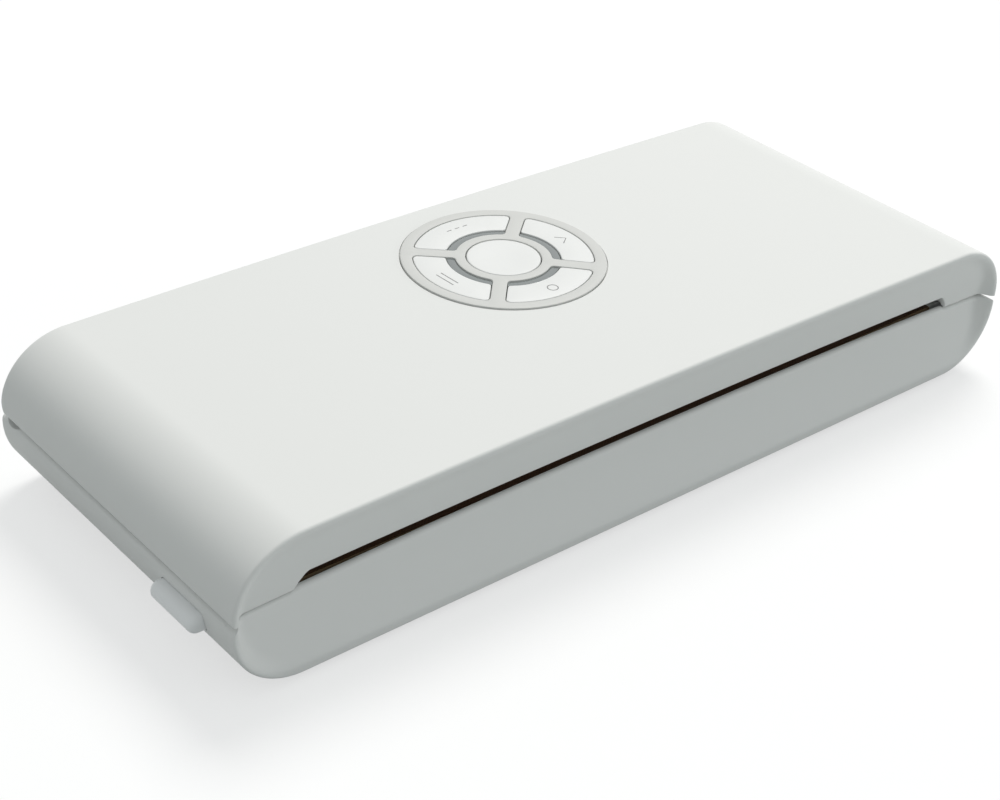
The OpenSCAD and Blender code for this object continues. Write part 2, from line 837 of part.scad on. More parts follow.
module base_harness() {
    y = board_mid;
    low = under_z + 6;
    tap = heater_z - heater_h - channel_floor_t - 5;
    wx = terminal_x;
    lane = rear_screw_y - boss_r - 2.2;
    cz = board_top + 4;
    color("firebrick") {
        // Heater leads
        wire([[-wx, element_y, tap], [-wx, element_y, low], [-wx, y - 5, low],
            [board_x0 - 5, y - 5, low], [board_x0 - 5, y - 5, cz], [board_x0 + 0.95, y - 5, cz]], 1);
        wire([[wx, element_y, tap], [wx, element_y, low], [wx, channel_back + 10, low],
            [8, channel_back + 10, low], [8, y - 5, low], [board_x1 + 6, y - 5, low],
            [board_x1 + 6, y - 5, cz], [board_x1 - 0.95, y - 5, cz]], 1);
    }
    color("gold") {
        // Motor lead
        wire([[board_x1 - 0.95, y + 5, cz], [board_x1 + 12, y + 5, cz], [board_x1 + 12, lane, low],
            [motor_x + motor_l + 8, lane, low], [motor_x + motor_l + 8, pump_y + 5, pump_z],
            [motor_x + motor_l + run, pump_y + 5, pump_z]], 0.8);
        // Panel lead, which reaches the hinge line beside the lid's lead
        wire([[board_x1 - 0.95, y + 1, cz], [board_x1 + 3, y + 1, cz],
            [board_x1 + 20, y + 1, cz + 6], [board_x1 + 20, lane - 3, cz + 6],
            [wire_x + 4, lane - 3, cz + 6], [wire_x + 4, hinge_y, cz + 6],
            [wire_x + 4, hinge_y, hinge_z], [wire_x + 0.15, hinge_y, hinge_z]], 0.8);
    }
}

module feet() {
    color("dimgray") foot_places() rod_z(0, 0, 0, under_z + foot_sink, foot_r);
}

module base_screws() {
    color("silver") base_screw_places() {
        rod_z(0, 0, screw_seat_z - screw_head_h, screw_seat_z, screw_head_r);
        rod_z(0, 0, screw_seat_z - 0.5, screw_seat_z + screw_l, screw_r);
    }
}

module hinge_pins() {
    color("silver") at_hinges() rod_x(-pin_half, pin_half, hinge_y, hinge_z, pin_r);
}

// One coil spring along X, as a tube swept on a helix
module coil(x0, length, y, z) {
    steps = 14 * spring_turns;
    sides = 8;
    mid = spring_r - spring_wire;
    run_l = length - 2 * spring_wire;
    tube_body([for (i = [0:steps]) [for (j = [0:sides - 1])
        let (t = 360 * spring_turns * i / steps, a = 360 * j / sides,
            reach = mid + spring_wire * cos(a))
        [x0 + spring_wire + run_l * i / steps - spring_wire * sin(a),
            y + reach * cos(t), z + reach * sin(t)]]], sides);
}

module release_springs() {
    x0 = spring_post_x + spring_post_t + run;
    length = flange_in - release_travel - run - x0;
    color("silver") both_ends() coil(x0, length, release_y, spring_z);
}

// Side release on the right end; the left one is its mirror image
module release() {
    round_r = release_h / 2;
    tip_x = half_l + release_out;
    difference() {
        union() {
            along_y(release_y - release_l / 2, release_y + release_l / 2) {
                translate([tip_x - round_r, release_z]) circle(round_r);
                translate([flange_in, release_low]) square([tip_x - round_r - flange_in, release_h]);
            }
            box(flange_in, flange_x, release_y - release_l / 2 - 2, release_y + release_l / 2 + 2,
                flange_low, flange_high);
            box(plate_in, flange_in + 1, release_y - plate_w / 2, release_y + plate_w / 2,
                plate_z, plate_z + plate_t);
        }
        box(catch_x, catch_out, hook_y - hook_w / 2 - 3.5, hook_y + hook_w / 2 + 1.2, 0, far);
    }
}

module left_release() {
    color("lightgray") mirror([1, 0, 0]) release();
}

module right_release() {
    color("lightgray") release();
}

// ---- lid ----

// Everything behind the leaning front, set back by a distance along Y
module behind_front(back, z0, z1) {
    along_x(-far / 2, far / 2) polygon([
        [front_y + (top_z - z0) * lean + back, z0],
        [far / 2, z0],
        [far / 2, z1],
        [front_y + (top_z - z1) * lean + back, z1]
    ]);
}

module lid_shell() {
    color("whitesmoke") difference() {
        union() {
            difference() {
                along_y(front_y, rear_y) lid_profile(0, lid_low_z);
                // Leaning front inside the rim
                difference() {
                    along_y(front_y - 1, front_y + lid_rake + 1) lid_profile(rim_w, 0);
                    behind_front(0, 0, top_z + 2);
                }
                // Inside
                intersection() {
                    along_y(front_y, rear_y - wall) lid_profile(wall, 0);
                    behind_front(front_wall_y, 0, lid_roof_z);
                    difference() {
                        box(-far, far, front_y, far, 0, far / 2);
                        beyond_swing(swing_r - wall);
                    }
                }
                beyond_swing(swing_r);
            }
            liner_screw_places() rod_z(0, 0, liner_z + liner_t + run, lid_roof_z + 1, boss_r);
        }
        // Bag slot, stepped at both ends
        along_y(front_y - 2, heater_front) polygon([
            [-slot_l / 2 - 2.5, seam_z - 2],
            [slot_l / 2 + 2.5, seam_z - 2],
            [slot_l / 2 + 2.5, lid_low_z],
            [slot_l / 2 - 2, slot_top_z],
            [2 - slot_l / 2, slot_top_z],
            [-slot_l / 2 - 2.5, lid_low_z]
        ]);
        rear_windows();
        liner_screw_places() rod_z(0, 0, 0, liner_z + liner_t + 10, pilot_r);
        panel_place() {
            rod_z(0, 0, panel_seat, far, panel_r + 0.1);
            rod_z(0, 0, 0, far, cup_r + clear);
        }
    }
}

module lid_liner() {
    liner_front = front_y + (top_z - liner_z) * lean + front_wall_y + clear;
    liner_rise = liner_z + liner_t - lid_zc;
    liner_half = half_l - lid_end_r + sqrt(pow(lid_end_r - wall, 2) - pow(liner_rise, 2)) - clear;
    color("gainsboro") difference() {
        union() {
            box(-liner_half, liner_half, liner_front, rear_y - wall - clear, liner_z, liner_z + liner_t);
            both_ends() rod_z(switch_x, switch_y, switch_top + 1.9, liner_z + 1, peg_r);
        }
        rear_windows();
        liner_screw_places() rod_z(0, 0, 0, far, screw_hole_r);
    }
    color("gainsboro") at_hinges() difference() {
        union() {
            rod_x(-knuckle_l / 2, knuckle_l / 2, hinge_y, hinge_z, knuckle_r);
            box(-knuckle_l / 2, knuckle_l / 2, hinge_y - swing_r - 1, hinge_y, liner_z, hinge_z + knuckle_r);
        }
        rod_x(-knuckle_l, knuckle_l, hinge_y, hinge_z, pin_r + run);
    }
}

// Ribs that hold the upper gasket
module gasket_rail() {
    color("gainsboro") {
        channel_ring(ring_in - rail_t, ring_in, liner_z - rib_h, liner_z);
        channel_ring(ring_out, ring_out + rail_t, liner_z - rib_h, liner_z);
    }
}

module upper_gasket() {
    color("dimgray") channel_ring(ring_in + 0.1, ring_out - 0.1, upper_low_z, liner_z);
}

module press_strip() {
    color("indianred") box(-heater_half + 2, heater_half - 2, element_y - strip_w / 2,
        element_y + strip_w / 2, strip_z, strip_z + strip_h);
}

module press_holder() {
    color("lightgray") difference() {
        box(-heater_half, heater_half, element_y - holder_w / 2, element_y + holder_w / 2,
            holder_z, liner_z);
        box(-heater_half + 2 - clear, heater_half - 2 + clear, element_y - strip_w / 2 - 0.1,
            element_y + strip_w / 2 + 0.1, 0, strip_z + strip_h);
    }
}

module lid_hooks() {
    y0 = hook_y - hook_w / 2;
    y1 = hook_y + hook_w / 2;
    color("lightgray") both_ends() {
        box(latch_x - hook_t / 2, latch_x + hook_t / 2, y0, y1, hook_low, liner_z);
        box(latch_x - hook_t / 2 - toe_l, latch_x, y0, y1, hook_low, hook_low + toe_h);
        box(latch_x - hook_root_in, latch_x + hook_root_out, y0, y1, liner_z - hook_root_t, liner_z);
    }
}

module liner_screws() {
    color("silver") liner_screw_places() {
        rod_z(0, 0, liner_z - screw_head_h, liner_z, screw_head_r);
        rod_z(0, 0, liner_z - 0.5, liner_z + liner_t + 8, screw_r);
    }
}

// Four strips on the diagonals, where the spokes lie
module spoke_strips(width) {
    for (a = [45, 135]) rotate(a) square([2 * panel_r, width], center = true);
}

module ring_2d(inner, outer) {
    difference() {
        circle(outer);
        circle(inner);
    }
}

module slab(z0, z1) {
    translate([0, 0, z0]) linear_extrude(z1 - z0) children();
}

module stem_places() {
    children();
    for (k = [0:3]) rotate([0, 0, 90 * k]) translate([stem_reach, 0, 0]) children();
}

module led_places() {
    for (k = [0:3]) rotate([0, 0, 90 * k + led_turn]) translate([led_reach, 0, 0]) children();
}

module control_bezel() {
    floor_top = cup_floor_z + cup_floor_t;
    color("silver") panel_place() difference() {
        union() {
            slab(panel_seat, panel_top) ring_2d(bezel_in, panel_r);
            slab(cup_floor_z, panel_seat + 0.5) ring_2d(bezel_in, cup_r);
            slab(cup_floor_z, floor_top) circle(cup_r);
            slab(floor_top - eps, panel_top) ring_2d(hub_in, hub_out);
            slab(floor_top - eps, panel_top) intersection() {
                ring_2d(hub_in + 1, bezel_in + 1);
                spoke_strips(spoke_w);
            }
            post_places() rod_z(0, 0, pcb_top, cup_floor_z + 0.5, 2.6);
            // Clips under the lid's roof
            for (k = [0:3]) rotate([0, 0, 90 * k])
                box(cup_r - 1, cup_r + 1.2, -4, 4, cup_floor_z + 0.4, lid_roof_z - 0.2);
        }
        stem_places() rod_z(0, 0, 0, far, stem_r + run);
        led_places() rod_z(0, 0, 0, floor_top + 1, led_r + 0.2);
        post_places() rod_z(0, 0, 0, cup_floor_z, small_screw_r + run);
    }
}

module indicator_window() {
    z0 = cup_floor_z + cup_floor_t;
    color("dimgray", 0.8) panel_place() slab(z0, panel_top - 0.6) difference() {
        ring_2d(window_in, window_out);
        spoke_strips(spoke_w + 0.3);
    }
}

module control_board() {
    color("darkgreen") panel_place() {
        difference() {
            rod_z(0, 0, pcb_top - pcb_t, pcb_top, pcb_r);
            post_places() rod_z(0, 0, 0, far, small_screw_r + 0.2);
        }
        // Plug of the panel lead
        box(lead_plug_x, lead_plug_x + lead_plug_l, lead_plug_y, lead_plug_y + lead_plug_w,
            pcb_top - pcb_t - lead_plug_h, pcb_top - pcb_t);
    }
    color("silver") panel_place() post_places() {
        rod_z(0, 0, pcb_top - pcb_t - small_head_h, pcb_top - pcb_t, small_head_r);
        rod_z(0, 0, pcb_top - pcb_t - 0.5, pcb_top + 3, small_screw_r);
    }
}

module tact_switches() {
    color("black") panel_place() stem_places() {
        translate([-3, -3, pcb_top]) cube([6, 6, tact_body_h]);
        rod_z(0, 0, pcb_top, pcb_top + tact_h, 1.6);
    }
}

module status_lights() {
    color("deepskyblue") panel_place() led_places() rod_z(0, 0, pcb_top, cup_floor_z + 0.6, led_r);
}

module lid_harness() {
    x = panel_x + lead_plug_x + lead_plug_l;
    y = panel_y + lead_plug_y + lead_plug_w / 2;
    z = pcb_top - pcb_t - lead_plug_h / 2;
    color("gold") wire([[x, y, z], [x + 10, y, z],
        [wire_x - 4, hinge_y - 4, hinge_z + swing_r], [wire_x - 4, hinge_y, hinge_z + 4],
        [wire_x - 4, hinge_y, hinge_z], [wire_x - 0.15, hinge_y, hinge_z]], 0.8);
}

// One quarter of the ring of buttons, centred on the angle a
module sector_button(a) {
    color("whitesmoke") panel_place() rotate([0, 0, a]) {
        slab(cap_low, cap_top) difference() {
            intersection() {
                ring_2d(button_in, button_out);
                polygon([[0, 0], [2 * panel_r, 2 * panel_r], [2 * panel_r, -2 * panel_r]]);
            }
            spoke_strips(spoke_w + 2 * button_gap);
        }
        rod_z(stem_reach, 0, stem_low, cap_low + 0.5, stem_r);
    }
}

module button_right() {
    sector_button(0);
}

module button_back() {
    sector_button(90);
}

module button_left() {
    sector_button(180);
}

module button_front() {
    sector_button(270);
}

module button_centre() {
    color("whitesmoke") panel_place() {
        rod_z(0, 0, cap_low, cap_top, centre_r);
        rod_z(0, 0, stem_low, cap_low + 0.5, stem_r);
    }
}

base_shell();
front_apron();
base_deck();
vacuum_tray();
lower_gasket();
heater_bar();
heating_element();
sealing_tape();
heater_terminals();
pump_motor();
pump_shaft();
pump_head();
pump_bracket();
pump_hose();
vacuum_port();
power_board();
transformer();
board_parts();
inner_screws();
lid_switches();
cord_gland();
base_harness();
feet();
base_screws();
hinge_pins();
release_springs();
left_release();
right_release();
lid_shell();
lid_liner();
gasket_rail();
upper_gasket();
press_strip();
press_holder();
lid_hooks();
liner_screws();
control_bezel();
indicator_window();
control_board();
tact_switches();
status_lights();
lid_harness();
button_left();
button_front();
button_right();
button_back();
button_centre();
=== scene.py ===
"""Dresses the countertop vacuum sealer: moulded shells, round panel, seals, finishes and a studio."""

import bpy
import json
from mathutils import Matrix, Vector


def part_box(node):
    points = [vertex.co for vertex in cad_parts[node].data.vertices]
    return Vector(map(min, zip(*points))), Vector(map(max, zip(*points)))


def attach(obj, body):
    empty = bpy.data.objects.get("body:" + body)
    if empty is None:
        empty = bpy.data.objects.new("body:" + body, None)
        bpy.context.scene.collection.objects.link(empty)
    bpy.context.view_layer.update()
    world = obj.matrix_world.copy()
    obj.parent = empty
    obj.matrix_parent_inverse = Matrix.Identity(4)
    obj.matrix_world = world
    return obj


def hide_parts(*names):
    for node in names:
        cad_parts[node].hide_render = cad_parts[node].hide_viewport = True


bl_info = {
    "name": "Vacuum sealer",
    "version": (1, 0, 0),
    "blender": (4, 5, 0),
    "location": "3D View > Sidebar > Vacuum sealer",
    "description": "Builds the shells, panel, releases, seals and feet of a vacuum sealer",
    "category": "Object",
}

import json
import math

import bmesh
import bpy
import numpy as np
from mathutils import Matrix, Vector, geometry

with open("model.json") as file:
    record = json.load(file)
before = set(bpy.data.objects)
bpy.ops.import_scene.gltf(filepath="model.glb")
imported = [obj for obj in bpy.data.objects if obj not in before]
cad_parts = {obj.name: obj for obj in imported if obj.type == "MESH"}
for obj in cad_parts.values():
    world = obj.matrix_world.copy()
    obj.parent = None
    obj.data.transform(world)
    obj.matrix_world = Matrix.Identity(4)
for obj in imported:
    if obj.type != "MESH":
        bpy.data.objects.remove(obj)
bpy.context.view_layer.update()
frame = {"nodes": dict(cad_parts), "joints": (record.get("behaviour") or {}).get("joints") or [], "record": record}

MM = 0.001
TINY = 1e-6
MERGE_DIST = 2e-6
FLAT_DIST = 1e-7
FILL_DIST = 1e-8
QUARTER = math.pi / 2

# ---- places taken from the solids ----


def corners(node):
    """Lowest and highest corner of a solid as arrays, in metres."""
    low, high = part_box(node)
    return np.array(low), np.array(high)


def joint_place(name):
    """The point a joint turns about, in metres."""
    return next(j for j in frame["joints"] if j["name"] == name)["pos_m"]


LID_LOW, LID_HIGH = corners("lid_shell")
BASE_LOW, BASE_HIGH = corners("base_shell")
APRON_LOW, APRON_HIGH = corners("front_apron")
BEZEL_LOW, BEZEL_HIGH = corners("control_bezel")
HINGE_Y, HINGE_Z = joint_place("lid_hinge")[1:]
FRONT_Y = float(LID_LOW[1])
REAR_Y = float(LID_HIGH[1])
HALF_L = float(LID_HIGH[0])
JOINT_Y = float(BASE_LOW[1])
PANEL = (float(BEZEL_LOW[0] + BEZEL_HIGH[0]) / 2, float(BEZEL_LOW[1] + BEZEL_HIGH[1]) / 2)
PANEL_TOP = float(BEZEL_HIGH[2])
PANEL_R = float(BEZEL_HIGH[0] - BEZEL_LOW[0]) / 2
LIP_RISE = float(APRON_HIGH[2] - BASE_HIGH[2])

# ---- sizes of what stays hidden or small ----

WALL = 2.2 * MM
END_EXTRA = 1.2 * MM  # how much thicker the base's end walls are
FRONT_EXTRA = 0.1 * MM  # how much thicker the lid's front is
JOINT_GAP = 0.05 * MM
SIDE_STEP = 0.01 * MM  # half the distance between two columns at the side of an opening
COVE_RIM = 4 * MM
COLUMN_PITCH = 3.5 * MM
BASE_PITCH = 4 * MM
BLEND_END = 14.5 * MM  # where the close rows of a front end
TOP_ROWS = 36
UNDER_ROWS = 40
APRON_ROWS = 6
LIP_FADE = 3 * MM
SHOULDER_FADE = 6 * MM
EDGE_FADE = 0.3 * MM
CHEEK_SET = 0.3 * MM
CHEEK_PAST = 1 * MM
CHEEK_FOOT = 0.2 * MM
CHEEK_RISE = 0.4 * MM
CHEEK_Y = (FRONT_Y + 7.2 * MM, FRONT_Y + 19 * MM)

HINGE_MIDDLE = float(corners("hinge_pins")[1][0]) - 12.4 * MM
HINGE_HALF = 14.4 * MM
LEAD_X = HINGE_MIDDLE - 80 * MM
LEAD_HALF = 8 * MM
OPENING_RISE = 4.2 * MM
SWING_GAP = 0.6 * MM
SWING_HALF = HALF_L + 5 * MM

BEZEL_T = 1.6 * MM
CUP_DEPTH = 6.6 * MM
CUP_EDGE = 0.6 * MM
CUP_WALL = 1.3 * MM
CUP_FLOOR = 1.2 * MM
CUP_HOLE = 0.4 * MM
CUP_LAP = 0.1 * MM
SEAT_GAP = 0.1 * MM
SEAT_HOLE_R = 38.3 * MM
SEAT_TOP = 100 * MM
SEAT_HOLE_Z = (50 * MM, 110 * MM)
INNER_CORNER = 0.6  # share of a sector's outer corners that its inner corners have
ARC_START = 0.2 * MM
ARC_STOP = 3.3 * MM
ARC_EDGE = 0.15 * MM
ARC_CORNER = 0.4 * MM
BUTTON_START = 3.7 * MM
BUTTON_EDGE = 0.35 * MM
CENTRE_EDGE = 0.5 * MM
MARK_REACH = 29.5 * MM
MARK_W = 0.45 * MM
MARK_T = 0.02 * MM
MARK_RING_R = 2.1 * MM
MARK_PATHS = {
    "left": [[(x, -5), (x, 5)] for x in (-1.2, 1.2)],
    "right": [[(-1.8, -3), (1.8, 0), (-1.8, 3)]],
    "back": [[(0, y - 1.1), (0, y + 1.1)] for y in (-4, 0, 4)],
}

RELEASE_Y = (-58.8 * MM, -33.2 * MM)
RELEASE_Z = (19.0 * MM, 26.5 * MM)
RELEASE_R = 2.2 * MM
RELEASE_GAP = 0.3 * MM
RELEASE_INNER = 184 * MM
RELEASE_OPENING = (HALF_L - 15 * MM, HALF_L + 10 * MM)
RELEASE_SHORT = 1 * MM
CATCH_R = 0.5 * MM
CATCH_BARS = (
    ((182.9, -60.6, 13.4), (184.9, -30.4, 27.8)),
    ((159.0, -56.0, 17.0), (184.0, -53.0, 20.0)),
    ((159.0, -37.0, 17.0), (184.0, -34.0, 20.0)),
    ((159.0, -56.0, 17.0), (162.0, -34.0, 20.0)),
)

SCREW_R = 3.2 * MM
SCREW_Z = (-10 * MM, 5 * MM)
TOWER = ((1.7, 5.2), (3.2, 5.2), (3.2, 2.6), (4.2, 2.6), (4.2, 10.0), (1.7, 10.0))
SCREW_X = (HINGE_MIDDLE + 10 * MM, HINGE_MIDDLE - 96 * MM)
FRONT_SCREW_X = (HALF_L - 70 * MM, HALF_L - 150 * MM)
SCREWS = [(side * x, REAR_Y - 11.2 * MM) for side in (-1, 1) for x in SCREW_X]
SCREWS += [(side * x, FRONT_Y + 15.7 * MM) for side in (-1, 1) for x in FRONT_SCREW_X]

SEAL_R = 16.2 * MM
SEAL_W = 6 * MM
SEAL_EDGE = 1.4 * MM
SEAL_PITCH = 4 * MM
STRIP_EDGE = 1.6 * MM
FOOT_R = 8 * MM
FOOT_EDGE = 0.8 * MM
FOOT_TALL = 3 * MM

KEY_TOWARD = Vector((0.47, 0.32, 0.82))
FILL_TOWARD = Vector((0.72, -0.68, 0.10))
LIGHT_W = 3.0
LIGHT_AWAY = 6.0
FLOOR_HALF = 4.0

# ---- settings ----


def length(name, text, value):
    """A size property in metres."""
    return bpy.props.FloatProperty(
        name=name, description=text, default=value, subtype="DISTANCE", unit="LENGTH"
    )


def number(name, text, value):
    """A plain number property."""
    return bpy.props.FloatProperty(name=name, description=text, default=value)


def angle(name, text, degrees):
    """An angle property, given in degrees."""
    return bpy.props.FloatProperty(
        name=name, description=text, default=math.radians(degrees), subtype="ANGLE"
    )


def colour(name, text, value):
    """A colour property, in linear light."""
    return bpy.props.FloatVectorProperty(
        name=name, description=text, default=value, size=3, min=0.0, max=1.0, subtype="COLOR"
    )


class SealerShellSettings(bpy.types.PropertyGroup):
    """Sizes of the moulded shells"""

    lid_end_r: length("Lid end radius", "Radius of the lid's rounded ends", 28 * MM)
    base_end_r: length("Base end radius", "Radius of the base's rounded ends", 27 * MM)
    front_round: length("Front edge", "Radius of the edge round the front", 1.3 * MM)
    rear_round: length("Rear edge", "Radius of the edge round the back", 1.8 * MM)
    lid_corner: length("Lid corner", "Radius of the lid's lower corner at both ends", 1.0 * MM)
    base_corner: length("Base corner", "Radius of the base's upper corner at both ends", 3.3 * MM)
    rim_w: length("Rim", "Width of the rim that frames the front", 2.4 * MM)
    lid_blend: length("Lid blend", "Width of the curve between the rim and the lid's front", 5.5 * MM)
    base_blend: length("Base blend", "Width of the curve between the rim and the apron's front", 6 * MM)
    bow: number("Bow", "Share of the front's depth that is lost at both ends", 0.38)
    lid_rake: length("Rake", "How far the lid's front leans back at the seam", 8 * MM)
    cove_d: length("Cove", "How far the base's front is hollowed at the seam", 8.6 * MM)
    lip_round: length("Lip edge", "Radius of the edges along the seam and the slot", 0.5 * MM)
    shoulder: length("Shoulder", "Radius of the base's upper edge along the front", 2.0 * MM)
    crown: length("Crown", "How far the lid's top falls from the middle to the ends", 1.2 * MM)
    slot_top: length("Slot top", "Height of the bag slot's upper edge above the surface", 38.9 * MM)
    slot_half: length("Slot half length", "Half the length of the slot at its upper edge", 157.8 * MM)
    seam_drop: length("Seam drop", "How far the base's upper edge stays below its solid", 0.4 * MM)
    slot_step: length("Slot step", "Length of the curve at each end of the slot", 7.4 * MM)


class SealerPanelSettings(bpy.types.PropertyGroup):
    """Sizes of the control panel"""

    ring_in: length("Ring inside", "Inner radius of the bezel's ring", 36.1 * MM)
    hub_out: length("Hub outside", "Outer radius of the bezel's hub", 19.2 * MM)
    hub_in: length("Hub inside", "Inner radius of the bezel's hub", 15.1 * MM)
    spoke_w: length("Spoke", "Width of each spoke", 5.7 * MM)
    gap: length("Gap", "Gap round each button", 0.35 * MM)
    groove: length("Groove", "Gap round the bezel", 0.35 * MM)
    corner: length("Corner", "Radius of the buttons' outer corners", 2.8 * MM)
    edge: length("Edge", "Radius of the bezel's upper edges", 0.3 * MM)
    dish: length("Dish", "Depth of the hollow in the centre button", 0.5 * MM)


class SealerFinishSettings(bpy.types.PropertyGroup):
    """Colours of the finishes"""

    shell: colour("Shell", "White moulded plastic", (0.765, 0.765, 0.752))
    inner: colour("Inner mouldings", "Plain white plastic", (0.70, 0.70, 0.68))
    button: colour("Buttons", "Satin white", (0.765, 0.765, 0.757))
    # Releases: lighter than the shell as painted light, making up for the light they miss under the body
    release: colour("Releases", "Light grey", (0.88, 0.885, 0.89))
    bezel: colour("Bezel", "Satin warm grey", (0.60, 0.60, 0.582))
    smoked: colour("Indicator window", "Smoked plastic", (0.20, 0.22, 0.22))
    mark: colour("Marks", "Printed grey", (0.20, 0.20, 0.20))
    seal: colour("Seals", "Grey foam", (0.09, 0.09, 0.10))
    # Tape: its own brown darkened further as painted shade, for the shade it sits in deep inside the slot
    tape: colour("Tape", "Brown coated cloth", (0.06, 0.028, 0.013))


class SealerStageSettings(bpy.types.PropertyGroup):
    """Camera and light"""

    azimuth: angle("Azimuth", "Turn of the camera from the front", -41.55)
    elevation: angle("Elevation", "Height of the camera above the horizon", 32.27)
    roll: angle("Roll", "Turn of the camera about its view", 3.66)
    distance: length("Distance", "Distance of the camera from what it looks at", 760.9 * MM)
    focus: bpy.props.FloatVectorProperty(
        name="Focus", description="The point the camera looks at", default=(-0.01696, 0.0, 0.01471),
        size=3, subtype="TRANSLATION", unit="LENGTH",
    )
    lens: number("Lens", "Focal length in millimetres", 69.84)
    sky: number("Sky", "Strength of the even light", 0.48)
    sky_tint: colour("Sky tint", "Colour of the even light", (0.94, 1.0, 1.0))
    key: number("Key", "Power of the soft box above, behind to the right", 237.0)
    key_tint: colour("Key tint", "Colour of the soft box", (1.0, 0.985, 0.96))
    fill: number("Fill", "Power of the soft box before the right end", 73.0)
    fill_tint: colour("Fill tint", "Colour of the fill light", (0.97, 1.0, 1.0))


# ---- meshes ----


def grid_quads(ids):
    """Quads between neighbouring rows and columns of a grid of vertex numbers."""
    return np.stack([ids[:-1, :-1], ids[1:, :-1], ids[1:, 1:], ids[:-1, 1:]], axis=-1).reshape(-1, 4)


def shell(outer, inner, first=None, last=None):
    """Closes the space between an outer and an inner grid of points into one skin.

    Both grids have the same shape. Their end columns are joined along the whole path. Their first
    and last rows are joined only over the given span of columns, since past it a row folds back.
    """
    count, steps = outer.shape[:2]
    points = np.concatenate([outer.reshape(-1, 3), inner.reshape(-1, 3)])
    out = np.arange(count * steps).reshape(count, steps)
    ins = out + count * steps
    first = first or slice(0, count)
    last = last or slice(0, count)
    quads = [grid_quads(out), grid_quads(ins)[:, ::-1]]
    for a, b in (
        (out[0], ins[0]),
        (out[-1], ins[-1]),
        (out[first, 0], ins[first, 0]),
        (out[last, -1], ins[last, -1]),
    ):
        quads.append(grid_quads(np.stack([a, b])))
    return points, np.concatenate(quads)


def skin(grid, closed=False):
    """Points and faces of a closed section carried along a path, as a grid with one row per place.

    The path closes on itself, or else the sections at its two ends are filled.
    """
    ids = np.arange(grid.shape[0] * grid.shape[1]).reshape(grid.shape[:2])
    around = np.concatenate([ids, ids[:, :1]], axis=1)
    points = grid.reshape(-1, 3)
    if closed:
        return points, grid_quads(np.concatenate([around, around[:1]]))
    return points, [*grid_quads(around).tolist(), ids[0].tolist(), ids[-1].tolist()[::-1]]


def revolve(profile, axis, turns=96):
    """A closed profile of (reach, height) carried round a vertical axis at the point (x, y)."""
    turn = np.linspace(0, 2 * math.pi, turns, endpoint=False)
    reach, height = np.array(profile).T
    x = axis[0] + np.outer(np.cos(turn), reach)
    y = axis[1] + np.outer(np.sin(turn), reach)
    return skin(np.stack([x, y, np.broadcast_to(height, x.shape)], axis=-1), closed=True)


def joined(*parts):
    """Several (points, faces) pairs as one."""
    points, faces, start = [], [], 0
    for part_points, part_faces in parts:
        points.append(part_points)
        faces += [[int(v) + start for v in face] for face in part_faces]
        start += len(part_points)
    return np.concatenate(points), faces


def contour_normals(curve):
    """Unit normals of a closed curve run anticlockwise, pointing outwards: its tangent turned a quarter."""
    tangent = np.roll(curve, -1, axis=0) - np.roll(curve, 1, axis=0)
    tangent /= np.maximum(np.linalg.norm(tangent, axis=1, keepdims=True), TINY * TINY)
    return np.stack([tangent[:, 1], -tangent[:, 0]], axis=1)


def flat_fill(loops, numbers):
    """Faces that fill the area between closed loops of one level, by constrained triangulation."""
    flat = np.concatenate(loops)
    edges, start = [], 0
    for loop in loops:
        count = len(loop)
        edges += [(start + k, start + (k + 1) % count) for k in range(count)]
        start += count
    result = geometry.delaunay_2d_cdt([Vector(p) for p in flat.tolist()], edges, [], 0, FILL_DIST)
    vertex_from, faces = result[3], result[2]
    middle = [flat[[vertex_from[v][0] for v in face]].mean(axis=0) for face in faces]
    keep = [inside_loops(m, loops) for m in middle]
    return [[int(numbers[vertex_from[v][0]]) for v in face] for face, ok in zip(faces, keep) if ok]


def inside_loops(point, loops):
    """Whether a point lies inside an odd number of the loops, by counting crossings of a ray along x."""
    crossings = 0
    for loop in loops:
        nxt = np.roll(loop, -1, axis=0)
        spans = (loop[:, 1] > point[1]) != (nxt[:, 1] > point[1])
        a, b = loop[spans], nxt[spans]
        at = a[:, 0] + (point[1] - a[:, 1]) * (b[:, 0] - a[:, 0]) / (b[:, 1] - a[:, 1])
        crossings += int((at > point[0]).sum())
    return crossings % 2 == 1


def plate(outline, holes, low, high, edge, low_edge=0.0, steps=4):
    """A flat plate with holes and rounded edges.

    Each loop is carried up from low to high. Near a face it moves into the material by
    edge * (1 - cos a) while its height falls short of that face by edge * (1 - sin a).
    """
    turn = np.linspace(0, QUARTER, steps + 1)
    over = [(edge * (1 - math.cos(a)), high - edge * (1 - math.sin(a))) for a in turn]
    under = [(low_edge * (1 - math.cos(a)), low + low_edge * (1 - math.sin(a))) for a in turn[::-1]]
    section = (under if low_edge > 0 else [(0.0, low)]) + over
    points, faces, top_loops, low_loops, top_ids, low_ids = [], [], [], [], [], []
    start = 0
    for k, loop in enumerate([outline, *holes]):
        normal = contour_normals(loop) * (1 if k == 0 else -1)
        rows = [np.column_stack([loop - normal * inset, np.full(len(loop), z)]) for inset, z in section]
        count = len(loop)
        ids = start + np.arange(len(rows) * count).reshape(len(rows), count)
        wrapped = np.concatenate([ids, ids[:, :1]], axis=1)
        faces += grid_quads(wrapped).tolist()
        points += rows
        low_loops.append(rows[0][:, :2])
        top_loops.append(rows[-1][:, :2])
        low_ids.append(ids[0])
        top_ids.append(ids[-1])
        start += ids.size
    faces += flat_fill(top_loops, np.concatenate(top_ids))
    faces += [face[::-1] for face in flat_fill(low_loops, np.concatenate(low_ids))]
    return np.concatenate(points), faces


def circle(radius, count=128, centre=(0.0, 0.0)):
    """A circle as a closed curve."""
    turn = np.linspace(0, 2 * math.pi, count, endpoint=False)
    return np.column_stack([centre[0] + radius * np.cos(turn), centre[1] + radius * np.sin(turn)])


